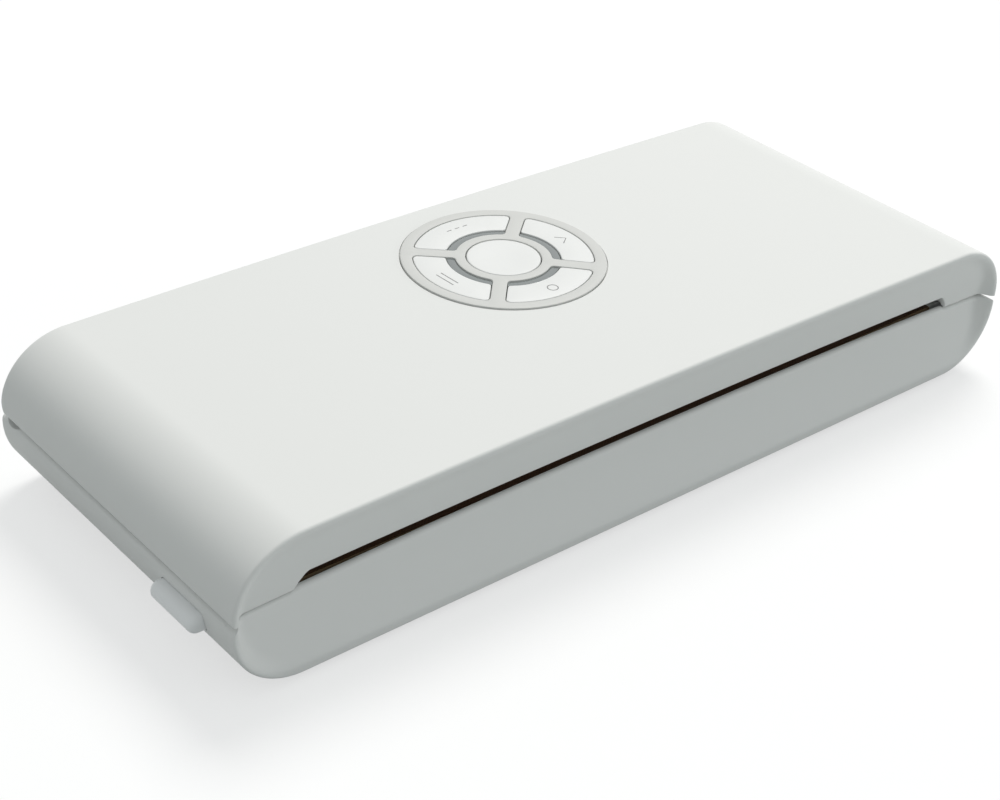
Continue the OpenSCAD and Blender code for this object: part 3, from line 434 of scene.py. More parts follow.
def make_mesh(name, points, faces, sharp=32.0):
    """A mesh object at the origin, with doubles merged, faces outwards and edges sharp past an angle."""
    mesh = bpy.data.meshes.new(name)
    mesh.from_pydata(np.asarray(points).tolist(), [], [list(map(int, f)) for f in faces])
    edit = bmesh.new()
    edit.from_mesh(mesh)
    bmesh.ops.remove_doubles(edit, verts=edit.verts, dist=MERGE_DIST)
    bmesh.ops.dissolve_degenerate(edit, edges=edit.edges, dist=FLAT_DIST)
    bmesh.ops.recalc_face_normals(edit, faces=edit.faces)
    edit.to_mesh(mesh)
    edit.free()
    mesh.shade_smooth()
    mesh.set_sharp_from_angle(angle=math.radians(sharp))
    piece = bpy.data.objects.new(name, mesh)
    bpy.context.scene.collection.objects.link(piece)
    return piece


def carve(piece, cutter, sharp=32.0):
    """Cuts a closed cutter out of a piece for good, then removes the cutter."""
    cut = piece.modifiers.new("Cut", "BOOLEAN")
    cut.operation = "DIFFERENCE"
    cut.solver = "EXACT"
    cut.object = cutter
    graph = bpy.context.evaluated_depsgraph_get()
    carved = bpy.data.meshes.new_from_object(piece.evaluated_get(graph))
    piece.modifiers.remove(cut)
    old = piece.data
    piece.data = carved
    carved.name = piece.name
    bpy.data.meshes.remove(old)
    bpy.data.objects.remove(cutter)
    carved.shade_smooth()
    carved.set_sharp_from_angle(angle=math.radians(sharp))


def finish_piece(piece, body, slot_name, *nodes, look=None):
    """Gives a piece its material, the body it rides on and the solids it stands for."""
    piece.data.materials.clear()
    piece.data.materials.append(finish_for(look or slot_name))
    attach(piece, body)
    if nodes:
        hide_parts(*nodes)


def place_piece(name, shape, body, slot_name, *nodes, sharp=32.0, look=None):
    """Makes a piece from its points and faces and finishes it."""
    finish_piece(make_mesh(name, *shape, sharp=sharp), body, slot_name, *nodes, look=look)


# ---- moulded outline ----


class Outline:
    """The end view of a shell: a long slab with round ends and a small corner at the seam.

    far is the level of its top or underside, edge the level of its seam, and up is +1 for the
    lid and -1 for the base. A round end is an ellipse from the far level at end_x to the tip,
    and from the tip a small arc turns in to the seam.
    """

    def __init__(self, half, end_r, far, edge, corner, crown=0.0):
        self.up = 1.0 if far > edge else -1.0
        self.end_x = half - end_r
        self.end_r = end_r
        self.far = far
        self.edge = edge
        self.corner = corner
        self.crown = crown
        self.tip = edge + self.up * corner
        self.corner_x = half - corner
        self.height = self.up * (far - self.tip) - crown

    def far_level(self, x):
        """Height of the outline over x: crowned over the middle, elliptic over the ends."""
        out = np.abs(x)
        middle = self.far - self.up * self.crown * np.minimum(out / self.end_x, 1.0) ** 2
        share = np.clip((out - self.end_x) / self.end_r, 0.0, 1.0)
        end = self.tip + self.up * self.height * np.sqrt(1 - share**2)
        return np.where(out <= self.end_x, middle, end)

    def seam_level(self, x):
        """Height of the seam over x: level, then the small arc of the corner."""
        over = np.clip(np.abs(x) - self.corner_x, 0.0, self.corner)
        arc = np.sqrt(np.maximum(self.corner**2 - over**2, 0.0))
        return self.tip - self.up * arc

    def inset(self, x, z):
        """Distance from the outline to a point inside it, measured on the round end's own scale."""
        out = np.abs(x)
        level = self.far_level(np.minimum(out, self.end_x))
        height = self.up * (level - self.tip)
        rise = np.maximum(self.up * (z - self.tip), 0.0) * self.end_r / height
        return np.maximum(self.end_r - np.hypot(np.maximum(out - self.end_x, 0.0), rise), 0.0)

    def columns(self, middle):
        """Places of the columns of a grid, from the left end to the right, and which fold under.

        Returns x, the outline's level there, and the number of columns in each folded end. The
        folded columns repeat the corner's arc, so that they meet the front's lower edge.
        """
        arc = np.linspace(0, QUARTER, 6)
        corner_x = self.corner_x + self.corner * np.cos(arc)
        reach = np.arcsin(np.clip((self.corner_x - self.end_x) / self.end_r, 0, 1))
        swept = self.end_x + self.end_r * np.sin(np.linspace(0, reach, 26)[1:-1])
        half = np.concatenate([swept, corner_x[::-1]])
        folded = corner_x[1:]
        x = np.concatenate([-folded[::-1], -half[::-1], middle, half, folded])
        level = self.far_level(x)
        folds = len(folded)
        level[:folds] = self.seam_level(x[:folds])
        level[-folds:] = self.seam_level(x[-folds:])
        return x, level, folds + len(corner_x) - 1

    def inner_columns(self, x, folds, wall, end_wall):
        """Columns of the inside that match the outer ones: the same middle, with ends a wall smaller."""
        reach = math.asin((self.corner_x - self.end_x) / self.end_r)
        out = np.abs(x)
        share = np.clip((out - self.end_x) / self.end_r, 0.0, 1.0)
        turn = np.minimum(np.arcsin(share) * QUARTER / reach, QUARTER)
        number = np.arange(len(x))
        tail = (number < folds) | (number >= len(x) - folds)
        turn = np.where(tail, QUARTER, turn)
        end = self.end_x + (self.end_r - end_wall) * np.sin(turn)
        inner_x = np.where(out <= self.end_x, out, end) * np.sign(x)
        middle = self.far_level(np.minimum(out, self.end_x)) - self.up * wall
        level = np.where(out <= self.end_x, middle, self.edge + (middle - self.edge) * np.cos(turn))
        return inner_x, level


def quarter_turn(distance, radius):
    """How far a rounded edge falls back at a distance from the edge.

    f(d) = r - sqrt(r^2 - (r - d)^2) for d below r, and 0 past it. The radius may vary.
    """
    short = radius - np.clip(distance, 0.0, radius)
    return radius - np.sqrt(np.maximum(radius**2 - short**2, 0.0))


def hollow_share(inset, rim, width):
    """Share of a hollow's depth at a distance from the outline: none over the rim, then a curve.

    q = (softened distance past the rim) / width, and the share is 1 - (1 - q)^3.
    """
    soft = 0.8 * MM

    def ramp(value):
        return 0.5 * (value - rim + np.sqrt((value - rim) ** 2 + soft**2))

    share = np.clip((ramp(inset) - ramp(0.0)) / width, 0.0, 1.0)
    return 1 - (1 - share) ** 3


def bowed(x, s):
    """Share of the front's depth over x: 1 - bow (|x| / half)^2.5."""
    return 1 - s.bow * (np.abs(x) / HALF_L) ** 2.5


def smooth(value):
    """Rises from 0 to 1 with level ends: 3 v^2 - 2 v^3."""
    value = np.clip(value, 0.0, 1.0)
    return value * value * (3 - 2 * value)


def depth_rows(height, round_r, lip):
    """Shares of the way from a face's far edge to its near edge: rows stand close at both edges."""
    far_turn = round_r * (1 - np.sin(np.linspace(QUARTER, 0, 8)))
    blend = np.linspace(round_r, BLEND_END, 17)[1:]
    plain = np.linspace(BLEND_END, height - lip, 7)[1:]
    near_turn = height - lip * (1 - np.sin(np.linspace(0, QUARTER, 6))[1:])
    return np.concatenate([far_turn, blend, plain, near_turn]) / height


def rows_between(far, near, shares):
    """Heights of a face's rows in each column, from its far edge to its near edge."""
    return far[:, None] + (near - far)[:, None] * shares[None, :]


def across(start, stop, count):
    """Places between two edges in each column, without both: close together near each edge."""
    share = 0.5 - 0.5 * np.cos(np.linspace(0, math.pi, count + 2))[1:-1]
    return start[:, None] + (stop - start)[:, None] * share[None, :]


def slices(x, *sections):
    """Grid of points with one row per slice at x, from sections of (y, z) side by side."""
    full = [np.broadcast_arrays(y, z) for y, z in sections]
    y = np.concatenate([pair[0] for pair in full], axis=1)
    z = np.concatenate([pair[1] for pair in full], axis=1)
    return np.stack([np.broadcast_to(x[:, None], y.shape), y, z], axis=-1)


def even_columns(outline, stops, pitch):
    """Columns over the straight part: even between the stops, which appear on both sides."""
    marks = [s for s in stops if abs(s) < outline.end_x]
    marks = np.unique([-outline.end_x, *marks, 0.0, outline.end_x])
    parts = []
    for low, high in zip(marks[:-1], marks[1:]):
        count = max(1, math.ceil((high - low) / pitch - TINY))
        parts.append(np.linspace(low, high, count + 1)[:-1])
    return np.concatenate([*parts, [outline.end_x]])


# ---- lid, base and apron ----


def lid_outline(s):
    """The lid's end view."""
    return Outline(HALF_L, s.lid_end_r, LID_HIGH[2], LID_LOW[2], s.lid_corner, s.crown)


def base_outline(s):
    """The base's end view."""
    return Outline(HALF_L, s.base_end_r, BASE_LOW[2], BASE_HIGH[2] - s.seam_drop, s.base_corner)


def slot_edge(out, s):
    """Level of the lid's front edge: the slot's upper edge, then a smooth step down to the seam."""
    share = smooth((s.slot_half + s.slot_step - out) / s.slot_step)
    return LID_LOW[2] + (s.slot_top - LID_LOW[2]) * share


def rear_openings():
    """Left and right sides of the openings in the lid's back, where the hinges and the lead pass."""
    places = ((-HINGE_MIDDLE, HINGE_HALF), (HINGE_MIDDLE, HINGE_HALF), (LEAD_X, LEAD_HALF))
    return [(middle - half, middle + half) for middle, half in places]


def lip_radius(outline, x, near, radius, fade):
    """Radius of the edge along a lip in each column: full in the middle and next to none at the ends."""
    return (radius * smooth(outline.inset(x, near) / fade) + TINY)[:, None]


def rake_depth(x, z, s):
    """How far the lid's front leans back: rake * share of the way down from the top * bow."""
    fall = np.clip((LID_HIGH[2] - z) / (LID_HIGH[2] - LID_LOW[2]), 0, 1)
    return s.lid_rake * fall * bowed(x, s)


def lid_front(x, z, outline, s):
    """Depth of the lid's front: y = front + rounded edge + rake * share of the hollow."""
    inset = outline.inset(x, z)
    hollow = rake_depth(x, z, s) * hollow_share(inset, s.rim_w, s.lid_blend)
    return FRONT_Y + quarter_turn(inset, s.front_round) + hollow


def tucked(z, reach):
    """Depth of the lid's back below the hinge line: the circle round it that lets the lid swing."""
    fall = np.clip(HINGE_Z - z, 0.0, reach * 0.999)
    return HINGE_Y + np.sqrt(reach**2 - fall**2)


def lid_slices(x, level, front, rear):
    """Slices that run up the front, over the top and down the back. front and rear are (y, z) grids."""
    top_y = across(front[0][:, 0], rear[0][:, 0], TOP_ROWS)
    return slices(x, [part[:, ::-1] for part in front], (top_y, level[:, None]), rear)


def lid_points(s):
    """The lid's skin, in slices along the length, each from the front's foot over the top to the back's."""
    outline = lid_outline(s)
    step_end = s.slot_half + s.slot_step
    turn = [*np.linspace(s.slot_half, step_end, 10), s.slot_half - 1 * MM, step_end + 0.5 * MM]
    sides = [edge + off for pair in rear_openings() for edge in pair for off in (-SIDE_STEP, SIDE_STEP)]
    stops = [*turn, *(-t for t in turn), *sides]
    x, far, folded = outline.columns(even_columns(outline, stops, COLUMN_PITCH))
    rear_near = outline.seam_level(x)
    near = np.where(np.abs(x) <= outline.end_x, slot_edge(np.abs(x), s), rear_near)
    for low, high in rear_openings():
        rear_near[(x > low) & (x < high)] = HINGE_Z + OPENING_RISE
    rows = depth_rows(LID_HIGH[2] - LID_LOW[2], s.front_round, s.lip_round)
    front_z = rows_between(far, np.minimum(near, far), rows)
    lip = lip_radius(outline, x, near, s.lip_round, LIP_FADE)
    front_y = lid_front(x[:, None], front_z, outline, s) + quarter_turn(front_z - near[:, None], lip)
    rear_z = rows_between(far, rear_near, rows)
    rear_inset = outline.inset(x[:, None], rear_z)
    rear_y = tucked(rear_z, REAR_Y - HINGE_Y) - quarter_turn(rear_inset, s.rear_round)
    outer = lid_slices(x, far, (front_y, front_z), (rear_y, rear_z))
    in_x, in_far = outline.inner_columns(x, folded, WALL, WALL)
    in_front_z = rows_between(in_far, np.minimum(near, in_far), rows)
    in_front_y = FRONT_Y + WALL + FRONT_EXTRA + rake_depth(in_x[:, None], in_front_z, s)
    in_rear_z = rows_between(in_far, np.minimum(rear_near, in_far), rows)
    in_rear_y = tucked(in_rear_z, REAR_Y - HINGE_Y - WALL)
    inner = lid_slices(in_x, in_far, (in_front_y, in_front_z), (in_rear_y, in_rear_z))
    span = slice(folded, len(x) - folded)
    return shell(outer, inner, span, span)


def cheek_points(side, s):
    """A cheek that closes the slot's end behind the lid's front: the slot's end curve carried back."""
    x = side * np.linspace(s.slot_half + CHEEK_SET, s.slot_half + s.slot_step + CHEEK_PAST, 14)
    low = np.maximum(slot_edge(np.abs(x) - CHEEK_SET, s), LID_LOW[2] + CHEEK_FOOT)[:, None]
    high = np.full_like(low, s.slot_top + CHEEK_RISE)
    depth = np.linspace(*CHEEK_Y, 6)[None, :]
    return shell(slices(x, (depth, low)), slices(x, (depth, high)))


def cove(x, z, s):
    """Depth of the hollow below the seam: the arc of a circle that leaves the front at the lower rim."""
    tall = APRON_HIGH[2] - BASE_LOW[2] - COVE_RIM
    radius = (tall**2 + s.cove_d**2) / (2 * s.cove_d)
    fall = np.clip(APRON_HIGH[2] - z, 0.0, tall)
    return np.maximum(s.cove_d - radius + np.sqrt(radius**2 - fall**2), 0.0) * bowed(x, s)


def apron_front(x, z, outline, s):
    """Depth of the apron's front: y = front + rounded edge + cove * share of the hollow."""
    inset = outline.inset(x, z)
    hollow = cove(x, z, s) * hollow_share(inset, s.rim_w, s.base_blend)
    return FRONT_Y + quarter_turn(inset, s.front_round) + hollow


def apron_points(s):
    """The apron's skin, in slices along the length, each from the lip down the front and back below."""
    outline = base_outline(s)
    lip_half = s.slot_half + s.slot_step + 1.5 * MM
    edges = [lip_half - EDGE_FADE, lip_half, -lip_half, EDGE_FADE - lip_half]
    x, far, folded = outline.columns(even_columns(outline, edges, COLUMN_PITCH))
    out = np.abs(x)
    raised = (LIP_RISE + s.seam_drop) * smooth((lip_half - out) / EDGE_FADE)
    near = np.where(out <= outline.end_x, outline.edge + raised, outline.seam_level(x))
    rows = depth_rows(APRON_HIGH[2] - APRON_LOW[2], s.front_round, s.shoulder)
    front_z = rows_between(far, near, rows)
    lip = lip_radius(outline, x, near, s.shoulder, SHOULDER_FADE)
    front_y = apron_front(x[:, None], front_z, outline, s) + quarter_turn(near[:, None] - front_z, lip)
    back = np.full(len(x), JOINT_Y - JOINT_GAP)
    under_y = np.maximum(across(front_y[:, 0], back, APRON_ROWS), front_y[:, :1])
    level = far[:, None]
    outer = slices(x, (front_y[:, ::-1], front_z[:, ::-1]), (under_y, level), (back[:, None], level))
    in_x, in_far = outline.inner_columns(x, folded, WALL, WALL + END_EXTRA)
    in_front_z = rows_between(in_far, np.maximum(near, in_far), rows)
    plain = FRONT_Y + WALL + cove(in_x[:, None], in_front_z, s)
    back_of_lip = np.where(out <= lip_half, APRON_HIGH[1], 1.0)[:, None]
    in_front_y = np.minimum(plain, np.maximum(back_of_lip, FRONT_Y + WALL))
    in_under_y = across(in_front_y[:, 0], back, APRON_ROWS)
    front = (in_front_y[:, ::-1], in_front_z[:, ::-1])
    level = in_far[:, None]
    inner = slices(in_x, front, (in_under_y, level), (back[:, None], level))
    return shell(outer, inner, slice(folded, len(x) - folded), slice(0, len(x)))


def base_points(s):
    """The base's skin, in slices along the length, each from the joint under the body and up the back."""
    outline = base_outline(s)
    x, far, folded = outline.columns(even_columns(outline, [], BASE_PITCH))
    near = outline.seam_level(x)
    rows = depth_rows(BASE_HIGH[2] - BASE_LOW[2], s.rear_round, s.lip_round)
    rear_z = rows_between(far, near, rows)
    lip = lip_radius(outline, x, near, s.lip_round, LIP_FADE)
    rear_y = REAR_Y - quarter_turn(outline.inset(x[:, None], rear_z), s.rear_round)
    rear_y = rear_y - quarter_turn(near[:, None] - rear_z, lip)
    joint = np.full(len(x), JOINT_Y)
    under_y = across(joint, rear_y[:, 0], UNDER_ROWS)
    level = far[:, None]
    outer = slices(x, (joint[:, None], level), (under_y, level), (rear_y, rear_z))
    in_x, in_far = outline.inner_columns(x, folded, WALL, WALL + END_EXTRA)
    in_rear_z = rows_between(in_far, np.maximum(near, in_far), rows)
    in_rear_y = np.full_like(in_rear_z, REAR_Y - WALL)
    in_under_y = across(joint, in_rear_y[:, 0], UNDER_ROWS)
    level = in_far[:, None]
    inner = slices(in_x, (joint[:, None], level), (in_under_y, level), (in_rear_y, in_rear_z))
    return shell(outer, inner, slice(0, len(x)), slice(folded, len(x) - folded))


def drum(centre, radius, low, high, turns=128, order=(0, 1, 2)):
    """A closed drum as a cutter: a circle carried from low to high along z, or along the last of order."""
    points, faces = plate(circle(radius, turns, centre), [], low, high, 0.0)
    return make_mesh("Cutter", points[:, order], faces)


def swing_cutter():
    """A drum along the hinge line as a cutter: the circle that the lid's back needs to swing."""
    reach = REAR_Y - HINGE_Y + SWING_GAP
    return drum((HINGE_Y, HINGE_Z), reach, -SWING_HALF, SWING_HALF, 96, (2, 0, 1))


# ---- bars, rings and small parts ----


def section_loop(width, height, radius, steps=5):
    """A rectangle with rounded corners, as a closed curve about its centre."""
    radius = min(radius, width / 2, height / 2)
    parts = []
    for quarter, (sx, sy) in enumerate([(1, 1), (-1, 1), (-1, -1), (1, -1)]):
        turn = quarter * QUARTER + np.linspace(0, QUARTER, steps + 1)
        parts.append(
            np.column_stack([
                sx * (width / 2 - radius) + radius * np.cos(turn),
                sy * (height / 2 - radius) + radius * np.sin(turn),
            ])
        )
    return np.concatenate(parts)


def bar(low, high, radius, axis=0, steps=5):
    """A bar with rounded edges and ends.

    Its rounded section is carried along an axis. At each end it shrinks by r (1 - cos a) while it
    advances by r sin a, which rounds the end's edge.
    """
    low, high = np.array(low, float), np.array(high, float)
    order = [axis, (axis + 1) % 3, (axis + 2) % 3]
    size = (high - low)[order]
    centre = ((low + high) / 2)[order]
    loop = section_loop(size[1], size[2], radius, steps)
    turn = np.linspace(0, QUARTER, steps + 1)
    start = [(radius * (1 - math.sin(a)), radius * (1 - math.cos(a))) for a in turn[::-1]]
    stations = [(-size[0] / 2 + along, shrink) for along, shrink in start]
    stations += [(-place, shrink) for place, shrink in stations[::-1]]
    scale = np.array([[1 - 2 * shrink / size[1], 1 - 2 * shrink / size[2]] for _, shrink in stations])
    place = np.array([along for along, _ in stations])
    ring = loop[None, :, :] * np.maximum(scale[:, None, :], 1e-4)
    along = np.broadcast_to(place[:, None, None], (*ring.shape[:2], 1))
    local = np.concatenate([along, ring], axis=2) + centre
    points = np.empty_like(local)
    points[..., order] = local
    return skin(points)


def ring_round(low, high, radius, width, edge):
    """A seal: a rounded section carried round a rectangle with rounded corners.

    The section's centre runs half a width inside the outer rectangle.
    """
    half = width / 2
    size = (high - low)[:2] - width
    path = section_loop(size[0], size[1], radius - half, 14) + ((low + high) / 2)[:2]
    straight = np.linalg.norm(np.roll(path, -1, axis=0) - path, axis=1)
    parts = []
    for k in range(len(path)):
        count = max(1, int(straight[k] / SEAL_PITCH))
        share = np.linspace(0, 1, count + 1)[:-1, None]
        parts.append(path[k] + (path[(k + 1) % len(path)] - path[k]) * share)
    path = np.concatenate(parts)
    out = contour_normals(path)
    side, rise = section_loop(width, high[2] - low[2], edge).T
    x = path[:, :1] + out[:, :1] * side
    y = path[:, 1:] + out[:, 1:] * side
    z = np.broadcast_to((low[2] + high[2]) / 2 + rise, x.shape)
    return skin(np.stack([x, y, z], axis=-1), closed=True)


def ribbon(path, width, low, high, closed):
    """A printed stroke: a thin strip of even width carried along a path."""
    path = np.asarray(path, float)
    if closed:
        tangent = np.roll(path, -1, axis=0) - np.roll(path, 1, axis=0)
    else:
        tangent = np.gradient(path, axis=0)
    tangent /= np.linalg.norm(tangent, axis=1, keepdims=True)
    side = np.column_stack([-tangent[:, 1], tangent[:, 0]]) * width / 2
    corners_at = [(1, low), (-1, low), (-1, high), (1, high)]
    rows = [np.column_stack([path + sign * side, np.full(len(path), z)]) for sign, z in corners_at]
    return skin(np.stack(rows, axis=1), closed)


# ---- control panel ----


def spin(points, turned):
    """Points drawn about the origin, turned by an angle and moved to the panel's centre."""
    c, d = math.cos(turned), math.sin(turned)
    return np.asarray(points) @ np.array([[c, d], [-d, c]]) + PANEL


def sector(inner, outer, half_strip, corner, place, count=40):
    """Outline of the area between two circles and two spokes, with its four corners rounded.

    place is the turn of its middle and the half angle to its spokes, whose sides lie half_strip
    from their centre lines.
    """
    turned, half = place

    def side_turn(radius):
        return half - math.asin(min(half_strip / radius, 1.0))

    def arc(radius, trim, step):
        reach = side_turn(radius) - trim / radius
        turn = np.linspace(-reach, reach, count)[::step]
        return radius * np.column_stack([np.cos(turn), np.sin(turn)])

    small = corner * INNER_CORNER
    arcs = [arc(outer, corner, 1), arc(inner, small, -1)]

    def corner_point(radius, sign):
        turn = sign * side_turn(radius)
        return radius * np.array([math.cos(turn), math.sin(turn)])

    def side_point(radius, sign, trim):
        along = np.array([math.cos(sign * half), math.sin(sign * half)])
        return corner_point(radius, sign) + along * trim

    def bend(start, middle, stop):
        share = np.linspace(0, 1, 8)[1:-1, None]
        return (1 - share) ** 2 * start + 2 * share * (1 - share) * middle + share**2 * stop

    def straight(start, stop):
        return start + (stop - start) * np.linspace(0, 1, 10)[:, None]

    high_side = straight(side_point(outer, 1, -corner), side_point(inner, 1, small))
    low_side = straight(side_point(inner, -1, small), side_point(outer, -1, -corner))
    loop = np.concatenate([
        arcs[0],
        bend(arcs[0][-1], corner_point(outer, 1), high_side[0]),
        high_side,
        bend(high_side[-1], corner_point(inner, 1), arcs[1][0]),
        arcs[1],
        bend(arcs[1][-1], corner_point(inner, -1), low_side[0]),
        low_side,
        bend(low_side[-1], corner_point(outer, -1), arcs[0][0]),
    ])
    return spin(loop, turned)


BACK_HALF = math.radians(49)
FRONT_HALF = math.radians(43.5)
SIDE_MIDDLE = (FRONT_HALF - BACK_HALF) / 2
SIDE_HALF = QUARTER - (FRONT_HALF + BACK_HALF) / 2
SIDES = {
    "right": (SIDE_MIDDLE, SIDE_HALF),
    "back": (QUARTER, BACK_HALF),
    "left": (2 * QUARTER - SIDE_MIDDLE, SIDE_HALF),
    "front": (3 * QUARTER, FRONT_HALF),
}


def bezel_points(p):
    """The bezel: a round plate with four sector openings and a round one, over a shallow cup."""
    holes = [sector(p.hub_out, p.ring_in, p.spoke_w / 2, p.corner, place) for place in SIDES.values()]
    holes.append(circle(p.hub_in, 96, PANEL))
    top = plate(circle(PANEL_R - p.groove, 160, PANEL), holes, PANEL_TOP - BEZEL_T, PANEL_TOP, p.edge)
    reach = p.ring_in + CUP_EDGE + CUP_WALL
    low, rim = PANEL_TOP - CUP_DEPTH, PANEL_TOP - BEZEL_T + CUP_LAP
    profile = [
        (CUP_HOLE, low),
        (reach, low),
        (reach, rim),
        (reach - CUP_WALL, rim),
        (reach - CUP_WALL, low + CUP_FLOOR),
        (CUP_HOLE, low + CUP_FLOOR),
    ]
    return joined(top, revolve(profile, PANEL))


def centre_points(p):
    """The centre button: a cap turned about the panel's axis, with a rounded edge and a shallow dish.

    Over the top, z = high - dish (1 - (r / R)^2)^2.
    """
    low, high = corners("button_centre")
    rim = float(high[0] - low[0]) / 2
    flat = rim - CENTRE_EDGE
    reach = np.linspace(0, flat, 14)
    dish = high[2] - p.dish * (1 - (reach / flat) ** 2) ** 2
    turn = np.linspace(0, QUARTER, 6)[1:]
    x = [*reach, *(flat + CENTRE_EDGE * np.sin(turn)), rim, 0.0]
    z = [*dish, *(high[2] - CENTRE_EDGE * (1 - np.cos(turn))), low[2], low[2]]
    return revolve(list(zip(x, z)), PANEL, 96)


def mark_strokes(side):
    """Strokes of the mark on one button, as (path, closed), drawn as on a button at the right."""
    if side == "front":
        return [(circle(MARK_RING_R, 40, (MARK_REACH, 0.0)), True)]
    return [(np.array(path) * MM + [MARK_REACH, 0.0], False) for path in MARK_PATHS[side]]


# ---- finishes ----


def node(tree, kind, place=(0, 0), **values):
    """A shader node with its properties and unlinked inputs set."""
    made = tree.nodes.new(kind)
    made.location = place
    for key, value in values.items():
        if key in made.inputs:
            made.inputs[key].default_value = value
        else:
            setattr(made, key, value)
    return made


def math_node(tree, operation, *values):
    """The result of a math node whose inputs are linked to sockets or set to numbers."""
    made = node(tree, "ShaderNodeMath", operation=operation)
    for place, value in zip(made.inputs, values):
        if isinstance(value, bpy.types.NodeSocket):
            tree.links.new(value, place)
        else:
            place.default_value = value
    return made.outputs[0]


def new_group(name, inputs, outputs):
    """An empty node group with sockets given as (name, kind, default)."""
    group = bpy.data.node_groups.new(name, "ShaderNodeTree")
    for label, kind, default in inputs:
        socket = group.interface.new_socket(label, in_out="INPUT", socket_type=kind)
        socket.default_value = default
    for label, kind in outputs:
        group.interface.new_socket(label, in_out="OUTPUT", socket_type=kind)
    return group, group.nodes.new("NodeGroupInput"), group.nodes.new("NodeGroupOutput")


def moulded_group():
    """Shared finish of moulded plastic: faint cloudy tone, uneven gloss and a fine grain."""
    name = "Moulded finish"
    if name in bpy.data.node_groups:
        return bpy.data.node_groups[name]
    group, start, end = new_group(
        name,
        [
            ("Colour", "NodeSocketColor", (0.8, 0.8, 0.8, 1.0)),
            ("Tone", "NodeSocketFloat", 0.03),
            ("Roughness", "NodeSocketFloat", 0.45),
            ("Grain size", "NodeSocketFloat", 2200.0),
            ("Grain", "NodeSocketFloat", 0.06),
        ],
        [("Colour", "NodeSocketColor"), ("Roughness", "NodeSocketFloat"), ("Normal", "NodeSocketVector")],
    )
    link = group.links.new
    place = node(group, "ShaderNodeTexCoord")
    cloud = node(group, "ShaderNodeTexNoise", Scale=22.0, Detail=3.0, Roughness=0.55)
    fine = node(group, "ShaderNodeTexNoise", Detail=2.0, Roughness=0.6)
    link(place.outputs["Object"], cloud.inputs["Vector"])
    link(place.outputs["Object"], fine.inputs["Vector"])
    link(start.outputs["Grain size"], fine.inputs["Scale"])
    centred = math_node(group, "SUBTRACT", cloud.outputs["Fac"], 0.5)
    tone = math_node(group, "MULTIPLY", centred, start.outputs["Tone"])
    shade = node(group, "ShaderNodeHueSaturation")
    link(start.outputs["Colour"], shade.inputs["Color"])
    link(math_node(group, "ADD", tone, 1.0), shade.inputs["Value"])
    uneven = math_node(group, "MULTIPLY_ADD", centred, 0.12, start.outputs["Roughness"])
    bump = node(group, "ShaderNodeBump", Distance=0.00005)
    link(fine.outputs["Fac"], bump.inputs["Height"])
    link(start.outputs["Grain"], bump.inputs["Strength"])
    link(shade.outputs["Color"], end.inputs["Colour"])
    link(uneven, end.inputs["Roughness"])
    link(bump.outputs["Normal"], end.inputs["Normal"])
    return group


def surface(name, base, tone, rough, grain_size, grain, **shader):
    """A material in the shared moulded finish, with constants set on its shader."""
    material = bpy.data.materials.new(name)
    material.use_nodes = True
    tree = material.node_tree
    main = tree.nodes["Principled BSDF"]
    finish = node(tree, "ShaderNodeGroup", (-300, 0))
    finish.node_tree = moulded_group()
    values = ((*base, 1.0), tone, rough, grain_size, grain)
    for socket, value in zip(finish.inputs, values):
        socket.default_value = value
    for source, target in (("Colour", "Base Color"), ("Roughness", "Roughness"), ("Normal", "Normal")):
        tree.links.new(finish.outputs[source], main.inputs[target])
    for key, value in shader.items():
        main.inputs[key].default_value = value
    material.diffuse_color = (*base, 1.0)
    return material


def add_pattern(material, low, high, kind, amount, stretch, height, **values):
    """Mixes a procedural pattern between two colours over a material's colour, and into its relief."""
    tree = material.node_tree
    main = tree.nodes["Principled BSDF"]
    link = tree.links.new
    place = node(tree, "ShaderNodeTexCoord", (-1100, 300))
    move = node(tree, "ShaderNodeMapping", (-900, 300), Scale=stretch)
    pattern = node(tree, kind, (-700, 300), **values)
    ramp = node(tree, "ShaderNodeValToRGB", (-500, 300))
    ramp.color_ramp.elements[0].color = (*low, 1.0)
    ramp.color_ramp.elements[1].color = (*high, 1.0)
    mix = node(tree, "ShaderNodeMix", (-150, 300), data_type="RGBA")
    mix.inputs[0].default_value = amount
    link(place.outputs["Object"], move.inputs["Vector"])
    link(move.outputs["Vector"], pattern.inputs["Vector"])
    out = pattern.outputs.get("Fac") or pattern.outputs[0]
    link(out, ramp.inputs["Fac"])
    link(main.inputs["Base Color"].links[0].from_socket, mix.inputs[6])
    link(ramp.outputs["Color"], mix.inputs[7])
    link(mix.outputs[2], main.inputs["Base Color"])
    if height > 0:
        bump = node(tree, "ShaderNodeBump", (-150, -300), Distance=height, Strength=1.0)
        link(out, bump.inputs["Height"])
        link(main.inputs["Normal"].links[0].from_socket, bump.inputs["Normal"])
        link(bump.outputs["Normal"], main.inputs["Normal"])


METAL = {"Metallic": 1.0}
BRUSHED = ("ShaderNodeTexNoise", 0.6, (1.0, 30.0, 30.0), 0.000004, {"Scale": 160.0, "Detail": 3.0})
EVEN = (1.0, 1.0, 1.0)

